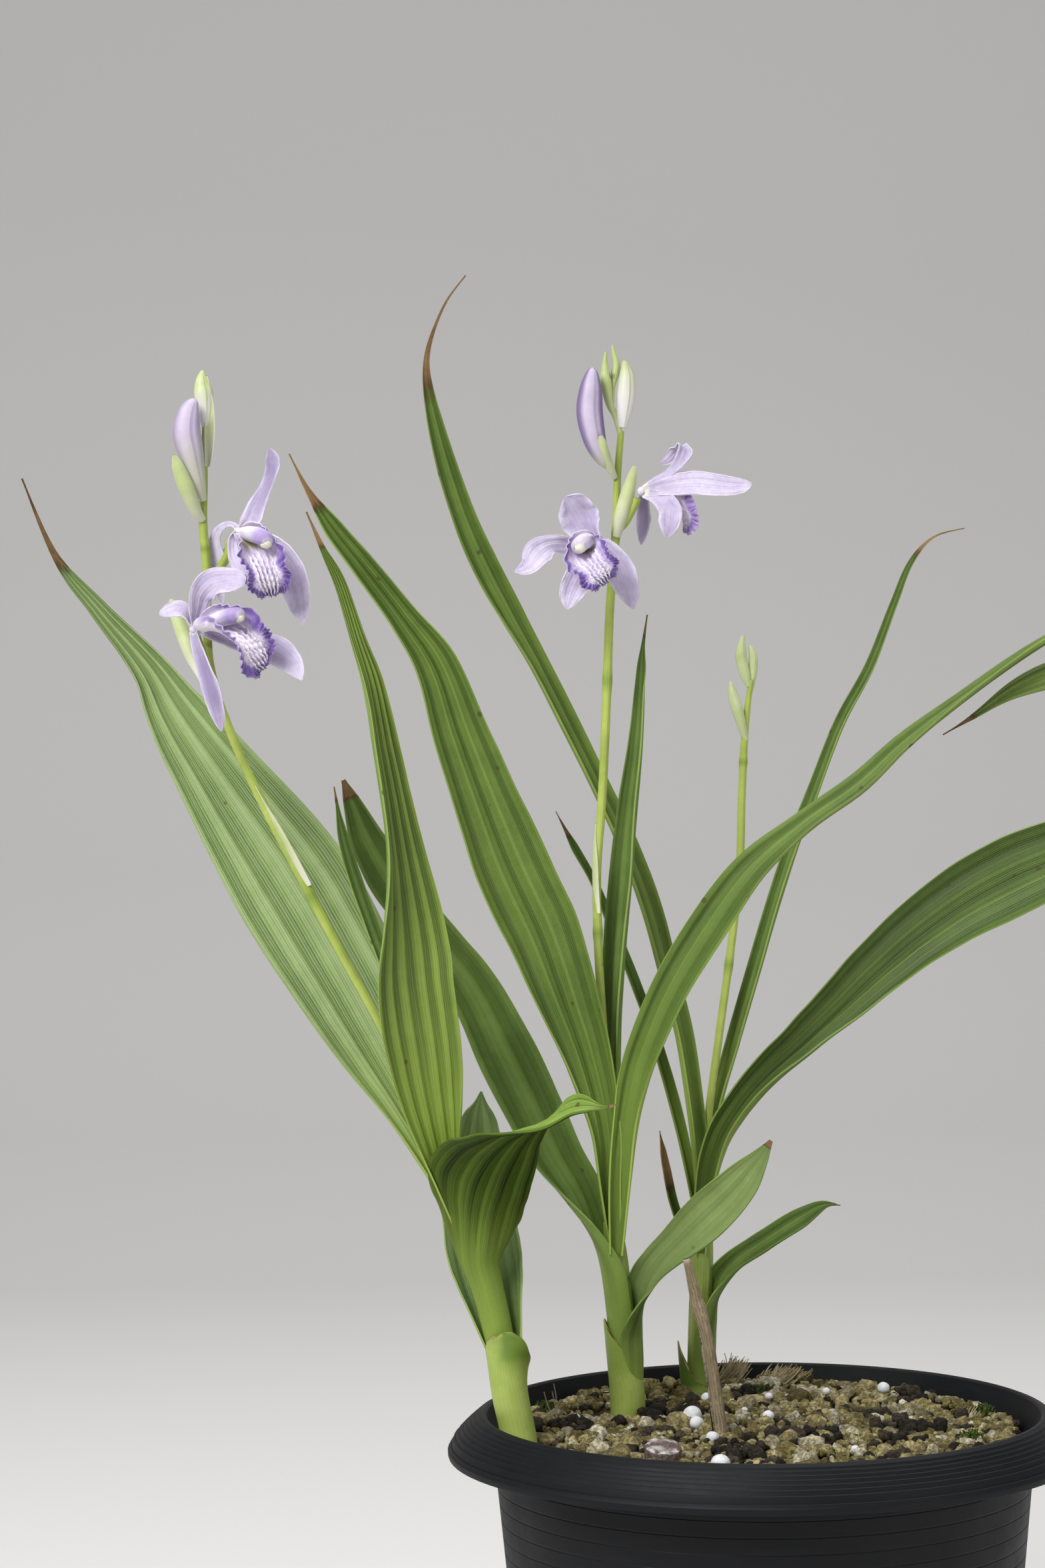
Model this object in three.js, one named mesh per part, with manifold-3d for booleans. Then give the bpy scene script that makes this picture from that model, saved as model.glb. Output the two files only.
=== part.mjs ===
// Bletilla orchid in its pot: shoots with pleated leaves, flower stalks with blooms and buds, and gravel.
// Millimetres, +Z up, origin at the middle of the pot's flat underside.
import * as THREE from "three";
import { mergeVertices } from "three/addons/utils/BufferGeometryUtils.js";
import Module from "manifold-3d";

const wasm = await Module();
wasm.setup();

// ---- driving dimensions ----
const potHeight = 150;
const potTopRadius = 79.6; // inner edge of the rim
const lipRadius = 89.9; // outer edge of the rim
const baseRadius = 63.4; // outer wall where it meets the underside
const wallSlope = 0.0966; // outward lean of the wall
const wall = 1.7;
const lipFoot = 138; // lower edge of the rim's flange
const floorTop = 3.5;
const roundSteps = 28; // sides of the pot and of the soil
const drainHoles = 6;
const drainRadius = 5;
const drainRing = 42;

const gap = 0.32; // clearance between pieces that touch
const soilGap = 0.45;
const soilTop = 142; // packed gravel between the stones
const soilRise = 0.04; // the surface climbs towards the back
const stoneCount = 38;
const stemHole = 5.6; // radius of the hole that a shoot stands in
const stemFoot = 118; // lowest point of the shoots
const stickHole = 2.6;

const leafThick = 0.8;
const petalThick = 0.7;
const pleatHeight = 0.75;
const frillHeight = 1.5;
const crestHeight = 0.9;
const hubRadius = 1.9;

// ---- small helpers ----
let seed = 7;
const random = () => {
  seed = (seed * 16807) % 2147483647;
  return seed / 2147483647;
};
const between = (low, high) => low + (high - low) * random();
const radians = THREE.MathUtils.degToRad;

// A row list is a smooth curve: every column, place or width, runs through its values (Catmull-Rom).
const sample = (rows, share) => {
  const last = rows.length - 1;
  const at = Math.min(Math.max(share, 0), 1) * last;
  const k = Math.min(Math.floor(at), last - 1);
  const f = at - k;
  const row = (i) => rows[Math.min(Math.max(i, 0), last)];
  return row(k).map((value, c) => {
    const [a, b, d, e] = [row(k - 1)[c], value, row(k + 1)[c], row(k + 2)[c]];
    return b + 0.5 * f * (d - a + f * (2 * a - 5 * b + 4 * d - e + f * (3 * (b - d) + e - a)));
  });
};

// Place, direction and the two cross directions at a share of a row list; face points to -Y before any turn.
const frameAt = (rows, share, turn = 0) => {
  const step = 0.004;
  const row = sample(rows, share);
  const before = new THREE.Vector3(...sample(rows, share - step));
  const after = new THREE.Vector3(...sample(rows, share + step));
  const along = after.sub(before).normalize();
  const face = new THREE.Vector3(0, -1, 0);
  face.addScaledVector(along, -face.dot(along)).normalize();
  face.applyAxisAngle(along, radians(turn));
  return { row, place: new THREE.Vector3(...row), along, face, side: along.clone().cross(face) };
};

const solidOf = (geometry) => {
  const bare = geometry.clone();
  bare.deleteAttribute("normal");
  bare.deleteAttribute("uv");
  const merged = mergeVertices(bare, 1e-4);
  const triVerts = new Uint32Array(merged.index.array);
  const vertProperties = new Float32Array(merged.attributes.position.array);
  return new wasm.Manifold(new wasm.Mesh({ numProp: 3, vertProperties, triVerts }));
};

const geometryOf = (solid) => {
  const { vertProperties, triVerts } = solid.getMesh();
  const geometry = new THREE.BufferGeometry();
  geometry.setAttribute("position", new THREE.BufferAttribute(new Float32Array(vertProperties), 3));
  geometry.setIndex(new THREE.BufferAttribute(new Uint32Array(triVerts), 1));
  geometry.computeVertexNormals();
  return geometry;
};

const largest = (solid) => solid.decompose().sort((a, b) => b.volume() - a.volume())[0];
const boxesMeet = (a, b) => {
  const [p, q] = [a.boundingBox(), b.boundingBox()];
  return [0, 1, 2].every((k) => p.min[k] <= q.max[k] && q.min[k] <= p.max[k]);
};

// ---- blades: leaves, sheaths, bracts, petals and lips ----
// Rows are [x, y, z, half width, turn of the upper face, curl of the half width], angles in degrees.
// ripple(s, u) is how far the blade stands proud of its smooth section, at s from edge to edge and u along;
// it fades where the blade is rolled into a tube.
const blade = ({ rows, across, thick = leafThick, ripple = () => 0 }, grow = 0) => {
  const steps = rows.length - 1;
  const sheet = new THREE.PlaneGeometry(2, 1, across, steps);
  const flat = sheet.attributes.position;
  const columns = across + 1;
  const count = flat.count;
  const places = new Float32Array(count * 6);
  for (let i = 0; i < count; i++) {
    const s = flat.getX(i);
    const u = flat.getY(i) + 0.5;
    const { row, place, face, side, along } = frameAt(rows, u, sample(rows, u)[4]);
    const width = Math.max(row[3], 0.35);
    const radius = width / radians(Math.max(row[5], 0.5));
    const angle = (s * (width + grow)) / radius;
    const normal = face.clone().multiplyScalar(Math.cos(angle)).addScaledVector(side, -Math.sin(angle));
    place.addScaledVector(side, radius * Math.sin(angle));
    place.addScaledVector(face, radius * (1 - Math.cos(angle)));
    const open = 1 - THREE.MathUtils.smoothstep(row[5], 50, 100);
    place.addScaledVector(normal, ripple(s, u) * Math.min(1, width / 6) * open);
    if (u < 0.001) place.addScaledVector(along, -grow);
    if (u > 0.999) place.addScaledVector(along, grow);
    const lift = thick / 2 + grow;
    place.clone().addScaledVector(normal, lift).toArray(places, i * 3);
    place.clone().addScaledVector(normal, -lift).toArray(places, (count + i) * 3);
  }
  const faces = [];
  const index = sheet.index.array;
  for (let i = 0; i < index.length; i += 3) {
    const [a, b, c] = [index[i], index[i + 1], index[i + 2]];
    faces.push(a, b, c, count + c, count + b, count + a);
  }
  const rim = [];
  for (let j = 0; j < across; j++) rim.push(j);
  for (let i = 0; i < steps; i++) rim.push(i * columns + across);
  for (let j = across; j > 0; j--) rim.push(steps * columns + j);
  for (let i = steps; i > 0; i--) rim.push(i * columns);
  rim.forEach((a, k) => {
    const b = rim[(k + 1) % rim.length];
    faces.push(a, b, count + b, a, count + b, count + a);
  });
  const geometry = new THREE.BufferGeometry();
  geometry.setAttribute("position", new THREE.BufferAttribute(places, 3));
  geometry.setIndex(faces);
  return solidOf(geometry);
};

// ---- rods: stems, stalks, buds and columns; rows are [x, y, z, radius] ----
const rod = ({ rows, sides }, grow = 0) => {
  const steps = rows.length - 1;
  const geometry = new THREE.CylinderGeometry(1, 1, 1, sides, steps);
  const flat = geometry.attributes.position;
  for (let i = 0; i < flat.count; i++) {
    const u = flat.getY(i) + 0.5;
    const { row, place, along, face, side } = frameAt(rows, u);
    const reach = Math.hypot(flat.getX(i), flat.getZ(i)) < 0.5 ? 0 : Math.max(row[3], 0.3) + grow;
    place.addScaledVector(side, flat.getX(i) * reach);
    place.addScaledVector(face, flat.getZ(i) * reach);
    if (u < 0.001) place.addScaledVector(along, -grow);
    if (u > 0.999) place.addScaledVector(along, grow);
    flat.setXYZ(i, ...place.toArray());
  }
  return solidOf(geometry);
};

const ball = (x, y, z, radius) => {
  const geometry = new THREE.IcosahedronGeometry(radius, 0);
  geometry.translate(x, y, z);
  return solidOf(geometry);
};

// ---- pot ----
const outer = (z) => baseRadius + z * wallSlope;
const inner = (z) => outer(z) - wall;
const ring = (profile) => {
  const points = profile.map(([radius, z]) => new THREE.Vector2(radius, z));
  return solidOf(new THREE.LatheGeometry(points, roundSteps).rotateX(Math.PI / 2));
};

const potSolid = () => {
  const body = ring([
    [0, 0], [baseRadius - 2, 0], [outer(1.5), 1.5], [outer(lipFoot + 2), lipFoot + 2],
    [potTopRadius - 0.6, potHeight - 4.4], [82.5, potHeight - 3.1], [85.1, potHeight - 4.6],
    [86.4, lipFoot + 1.4], [88.2, lipFoot], [lipRadius, lipFoot + 0.9], [lipRadius - 0.2, lipFoot + 2.5],
    [88.3, lipFoot + 3.2], [88.1, lipFoot + 5], [87.4, lipFoot + 5.4], [87.4, lipFoot + 7], [86.7, lipFoot + 7.4],
    [86.5, lipFoot + 9.2], [85.4, lipFoot + 10.2], [potTopRadius, potHeight],
    [potTopRadius - 1.2, potHeight - 0.6], [inner(lipFoot + 2), lipFoot + 2],
    [inner(floorTop + 2), floorTop + 2], [inner(floorTop) - 2, floorTop], [0, floorTop],
  ]);
  let pot = body;
  for (let k = 0; k < drainHoles; k++) {
    const angle = (k * 2 * Math.PI) / drainHoles;
    const hole = new THREE.CylinderGeometry(drainRadius, drainRadius, 20, 8).rotateX(Math.PI / 2);
    hole.translate(drainRing * Math.cos(angle), drainRing * Math.sin(angle), 0);
    pot = pot.subtract(solidOf(hole));
  }
  return pot;
};

// ---- shoots: pseudostems and the sheaths at their feet ----
const stems = {
  Left: [
    [-66.4, -8, stemFoot, 3.4], [-69.4, -8, 143.5, 3.5], [-74.4, -7, 169.8, 3.5],
    [-78.4, -7, 187.7, 3.4], [-82.2, -7, 202, 3.1], [-85.5, -7, 213, 2.2],
  ],
  Centre: [
    [-37.1, 31, stemFoot, 3.4], [-37.4, 31, 142.2, 3.5], [-38.5, 31, 165.1, 3.5],
    [-40.2, 31, 186.7, 3.4], [-41.5, 30, 200, 2.6],
  ],
  Right: [
    [-15.2, 58, stemFoot, 3.3], [-15.4, 58, 145.4, 3.3], [-14.7, 58, 166.5, 3.4],
    [-13.7, 58, 186.7, 3.2], [-13.1, 58, 200, 2.4],
  ],
};

const sheaths = {
  sheathLeft: [
    [-66.4, -12.7, stemFoot, 14.1, 180, 172], [-69.4, -12.7, 143, 14.1, 180, 172],
    [-72.4, -11.9, 156, 12.8, 176, 160], [-74.4, -11.6, 163, 9, 168, 112],
    [-75.6, -11.9, 168, 5.6, 160, 66], [-76.6, -12.4, 172, 1.2, 156, 15],
  ],
  sheathCentre: [
    [-41.8, 31, stemFoot, 14.1, 90, 172], [-42.1, 31, 142, 14.1, 90, 172],
    [-42.9, 31, 153, 11, 90, 138], [-43.5, 30.6, 161, 6.4, 88, 82], [-44, 30.2, 169.5, 0.8, 84, 12],
  ],
  sheathRight: [
    [-19.8, 57.8, stemFoot, 13.4, 90, 165], [-20, 57.6, 142, 12, 90, 150],
    [-20.6, 57.2, 150, 6.4, 90, 76], [-21.4, 56.8, 160.5, 0.6, 90, 10],
  ],
};

// ---- leaves ----
const leaves = {
  leafLeftArched: { across: 8, rows: [
    [-75.5, -11.2, 176.1, 9.5, 180, 138], [-78.2, -11.4, 187.4, 10, 180, 128],
    [-79.7, -13.5, 197.1, 11.4, 180, 92], [-81, -18, 206.2, 14, 182, 50],
    [-80.8, -26, 215.4, 16, 188, 26], [-77.4, -36, 223.8, 15, 202, 16],
    [-70.9, -45, 230.9, 11.5, 225, 14], [-62.7, -51, 236.2, 8, 244, 14],
    [-55.5, -54, 240.4, 5.5, 252, 14], [-49.3, -57, 241.9, 3, 255, 10], [-42.3, -60, 242.8, 0.5, 255, 0],
  ] },
  leafLeftFront: { across: 6, rows: [
    [-84.6, -8, 202.1, 3, 0, 110], [-89.3, -14, 220.8, 6, 5, 75], [-92.9, -20, 241, 9.5, 5, 40],
    [-95, -24, 256.3, 11, 6, 28], [-97.3, -26, 273.1, 11.5, 18, 28],
    [-98.6, -26, 287.9, 11.5, 36, 35], [-100.6, -26, 306.5, 9.5, 52, 40],
    [-103.2, -25, 325, 7.5, 56, 40], [-105.7, -24, 339.9, 6.5, 58, 40],
    [-108.3, -23, 356.6, 4.5, 50, 40], [-111.9, -22, 369.7, 2.6, 35, 30],
    [-116.7, -20, 385.7, 1.7, 20, 20], [-121.4, -20, 395.6, 1.3, 10, 0], [-125.9, -18, 405.9, 0.4, 0, 0],
  ] },
  leafLeftBroad: { across: 8, rows: [
    [-83.7, -7, 202, 3, 0, 100], [-89.6, -4, 216.4, 6, 12, 80], [-97.1, -1, 234.6, 10.5, 14, 55],
    [-108.4, 4, 256.2, 15, 16, 35], [-119.5, 9, 276.3, 17.5, 16, 25],
    [-134.7, 14, 302.4, 18, 14, 18], [-152.1, 18, 328.3, 13.6, 12, 16],
    [-166.3, 20, 349.6, 9.4, 10, 18], [-174.7, 20, 364.1, 5.6, 8, 24],
    [-188.5, 19, 380.7, 2.9, 5, 30], [-200.9, 17, 396.6, 1.6, 0, 30], [-209.9, 13, 419, 0.4, 0, 0],
  ] },
  leafLeftBack: { across: 6, rows: [
    [-72.1, -2.6, 162, 9, 0, 118], [-74.2, -1.6, 174.6, 10, 0, 88], [-76.8, 1, 185.6, 10.5, 0, 62],
    [-79, 4, 196.7, 10.6, 0, 38], [-80.4, 7, 209.7, 9, 0, 24], [-80.4, 9, 222.9, 6.6, 0, 20],
    [-80, 10, 231.4, 4.2, 0, 20], [-79.3, 11, 238.4, 1, 0, 0],
  ] },
  leafLeftThin: { across: 4, rows: [
    [-85.2, -5, 203.7, 2.4, 0, 60], [-91.8, -5, 232.1, 3.2, 10, 60], [-99.1, -3, 258.5, 3, 20, 40],
    [-105.7, -1, 277.4, 2.6, 30, 30], [-110.2, 1, 289.8, 2.2, 25, 20], [-114.6, 2, 303.1, 2, 10, 20],
    [-117.9, 2, 315.5, 1.4, 0, 0], [-120.2, 2, 328.9, 0.4, 0, 0],
  ] },
  leafCentreBroad: { across: 6, rows: [
    [-41, 28, 191.1, 3, 10, 110], [-42.7, 26, 210.9, 5, 12, 95], [-44.1, 25, 228.5, 6.2, 14, 75],
    [-48.8, 24, 248.2, 8, 16, 45], [-54.6, 23, 265.8, 10, 16, 32], [-61.4, 22, 285.4, 11.5, 14, 24],
    [-70.1, 21, 305, 11.6, 12, 20], [-77.4, 20, 324.5, 10, 12, 18], [-84.3, 19, 343.9, 8.4, 10, 16],
    [-90.8, 17, 363.3, 6.4, 8, 16], [-100.5, 15, 377.9, 4.4, 6, 18], [-111.4, 14, 392.4, 3.6, 4, 20],
    [-120.1, 13, 403.6, 2.8, 2, 20], [-127.2, 11, 414.5, 1.3, 0, 0], [-132.4, 10, 424.9, 0.4, 0, 0],
  ] },
  leafCentreLow: { across: 4, rows: [
    [-42.9, 31, 169.5, 9.6, 90, 125], [-44.7, 30.6, 185.5, 9.6, 85, 118], [-47.3, 31, 196.5, 8.6, 65, 85],
    [-51.8, 32.5, 207.5, 8.6, 42, 55], [-58.6, 34.5, 219.4, 9, 26, 38],
    [-64.3, 36, 232, 9.3, 16, 26], [-71.8, 37, 248.2, 9.3, 10, 20],
    [-80.9, 37, 267.2, 7.8, 8, 18], [-89, 36, 278.8, 6.8, 6, 18], [-97.1, 35, 289.2, 6, 4, 18],
    [-105.8, 34, 301.2, 5.4, 0, 20], [-112.9, 33, 312.7, 4, 0, 20], [-116.8, 32, 322.9, 2, 0, 10],
    [-119, 31, 330.8, 0.5, 0, 0],
  ] },
  leafCentreShort: { across: 6, rows: [
    [-32.9, 30.5, 157.6, 9.4, -90, 118], [-33.2, 30, 167.3, 9.4, -88, 112], [-33.1, 28.5, 174.6, 8, -78, 84],
    [-31.4, 25.5, 182.2, 7, -62, 58], [-28.2, 22, 188.3, 6.3, -48, 38],
    [-22.6, 18, 194.6, 6.4, -38, 26], [-14.7, 13.5, 202.8, 7.2, -28, 18],
    [-7, 10, 210.8, 6.2, -22, 16], [-0.5, 8, 219.1, 4, -20, 14], [3.9, 7, 225.7, 0.9, -20, 0],
  ] },
  leafCentreArched: { across: 4, rows: [
    [-40.2, 26, 191.3, 3.5, -10, 110], [-38.5, 24, 211, 4.8, -20, 90],
    [-36.4, 22, 228.7, 5.2, -28, 70], [-34, 20, 242.5, 5.6, -30, 45], [-30.2, 18, 254.2, 6, -28, 34],
    [-23, 16, 270.1, 6.2, -22, 26], [-12.4, 14, 287.1, 6.5, -22, 24], [-0.2, 12, 303.4, 6, -35, 24],
    [14.8, 10, 316.3, 5, -52, 24], [30.8, 9, 327.4, 4.8, -52, 22], [43.3, 8, 338.8, 4.4, -62, 22],
    [57.5, 6, 349.7, 4.2, -78, 26], [72.7, 4, 360.5, 4.2, -86, 30], [86, 3, 368.7, 4.2, -92, 34],
    [95.9, 3, 372.4, 4.2, -96, 34], [101.8, 4, 369.7, 4.2, -100, 30],
    [99.8, 6, 363.5, 4.3, -120, 24], [88.6, 8, 359.9, 4.5, -150, 20],
    [75.2, 9, 354.3, 3.6, -165, 18], [63.6, 9, 346.8, 1.8, -170, 10], [54.9, 9, 341.7, 0.4, -170, 0],
  ] },
  leafCentreUpright: { across: 4, rows: [
    [-40.4, 33, 192, 2.6, -20, 100], [-40.7, 34, 217.9, 3.6, -35, 80],
    [-40.2, 34, 241.5, 4.4, -50, 60], [-39.6, 34, 261.2, 5, -55, 50],
    [-38.4, 34, 280.8, 5.4, -52, 45], [-36.5, 33, 302.4, 5.2, -50, 42],
    [-34.5, 32, 322, 4.4, -48, 40], [-32.3, 30, 341.5, 3, -45, 36], [-31.2, 29, 357.1, 2, -40, 30],
    [-30.6, 28, 367.9, 1, -20, 0], [-29.1, 28, 378.2, 0.4, 0, 0],
  ] },
  leafRightTall: { across: 4, rows: [
    [-14, 58, 192.7, 3, 30, 100], [-15.1, 58, 214.9, 4.4, 45, 80], [-17.2, 57, 235.1, 4.8, 55, 60],
    [-19.8, 56, 253.3, 5, 55, 50], [-23.7, 55, 269.5, 5, 52, 44], [-28.5, 54, 289.6, 5, 50, 40],
    [-35.3, 52, 308.8, 5, 52, 36], [-44.1, 50, 328.3, 4.8, 54, 34], [-52.9, 48, 346.6, 4.8, 54, 34],
    [-61.5, 46, 364, 4.8, 50, 34], [-69.5, 44, 378.9, 5, 38, 30], [-76.8, 42, 393.7, 4.6, 20, 26],
    [-82.6, 40, 407.5, 3.9, 12, 24], [-87.3, 38, 422.2, 3.4, 8, 24], [-90.6, 36, 434.9, 2.6, 6, 24],
    [-92.7, 35, 445.7, 1.6, 4, 20], [-93.1, 34, 454.4, 0.9, 0, 0], [-91, 33, 462.7, 0.6, 0, 0],
    [-86.8, 32, 471.7, 0.5, 0, 0], [-81.2, 31, 478.8, 0.4, 0, 0],
  ] },
  leafRightArched: { across: 6, rows: [
    [-13.8, 55, 187.1, 3.2, -20, 110], [-12.1, 53, 205.3, 4.6, -30, 90],
    [-8.4, 51, 220.5, 5.2, -40, 70], [-2, 49, 231.6, 5.6, -48, 55], [5.9, 47, 240.8, 6.4, -50, 50],
    [15.6, 44, 249.8, 7.2, -46, 48], [25.8, 42, 259.3, 8.4, -38, 44], [37, 40, 270, 9.8, -32, 40],
    [50.8, 38, 281.8, 11.2, -28, 36], [67.5, 36, 293.2, 12.4, -24, 30], [86.6, 34, 302.6, 12.6, -24, 28],
    [104, 31, 308.6, 10.4, -34, 30], [117.4, 28, 310.8, 6.6, -48, 30],
    [127.6, 26, 309.6, 2.6, -60, 20], [133.4, 25, 307.2, 0.4, -70, 0],
  ] },
  leafRightThin: { across: 4, rows: [
    [-12.6, 61, 190.1, 2.4, -30, 90], [-11.1, 63, 214.4, 3, -40, 70],
    [-7.7, 64, 232.5, 3.2, -50, 60], [-2.4, 64, 250.7, 3.4, -52, 50], [2.7, 63, 267.9, 3.4, -52, 46],
    [8.9, 60, 289, 3.4, -54, 44], [15.4, 58, 309.1, 3.2, -54, 40], [21.5, 56, 325.1, 2.8, -54, 36],
    [29.6, 53, 346.1, 2.4, -50, 32], [38.4, 50, 362.9, 2, -46, 26], [45.6, 48, 381.7, 1.4, -40, 20],
    [50.4, 47, 393.5, 1, -40, 0], [57.1, 46, 401.1, 0.6, -40, 0], [66.4, 45, 403.7, 0.4, -40, 0],
  ] },
  leafRightLow: { across: 4, rows: [
    [-10.1, 57.6, 156, 9.2, -90, 118], [-9.9, 57, 166, 8.8, -86, 110],
    [-9, 55.5, 176.1, 6.5, -70, 75], [-3.8, 52, 184.4, 4.4, -52, 40],
    [5.1, 49, 191.2, 3.8, -44, 24], [14.9, 46, 197.9, 3.5, -40, 18], [22.3, 44, 202.4, 1.8, -50, 10],
    [26.8, 43, 202.5, 0.4, -50, 0],
  ] },
  leafRightOld: { across: 2, rows: [
    [-15.2, 60, 180, 2.2, 60, 100], [-19.3, 62, 191.2, 2.4, 50, 60], [-22.6, 63, 202.3, 2, 40, 40],
    [-24.3, 64, 212.3, 1.6, 40, 20], [-25.9, 64, 223.2, 0.4, 40, 0],
  ] },
  leafRightNarrow: { across: 2, rows: [
    [-14.3, 59.5, 192, 2.4, 40, 90], [-19.9, 64, 222.6, 2.6, 40, 60],
    [-26.6, 65, 248.8, 2.4, 40, 40], [-33, 64, 268.1, 2, 30, 30], [-39.3, 63, 284.4, 1.8, 30, 20],
    [-45.2, 62, 299.2, 1.4, 30, 20], [-50.8, 61, 309.8, 1.2, 20, 0], [-56.3, 60, 320.6, 0.4, 0, 0],
  ] },
};

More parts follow.
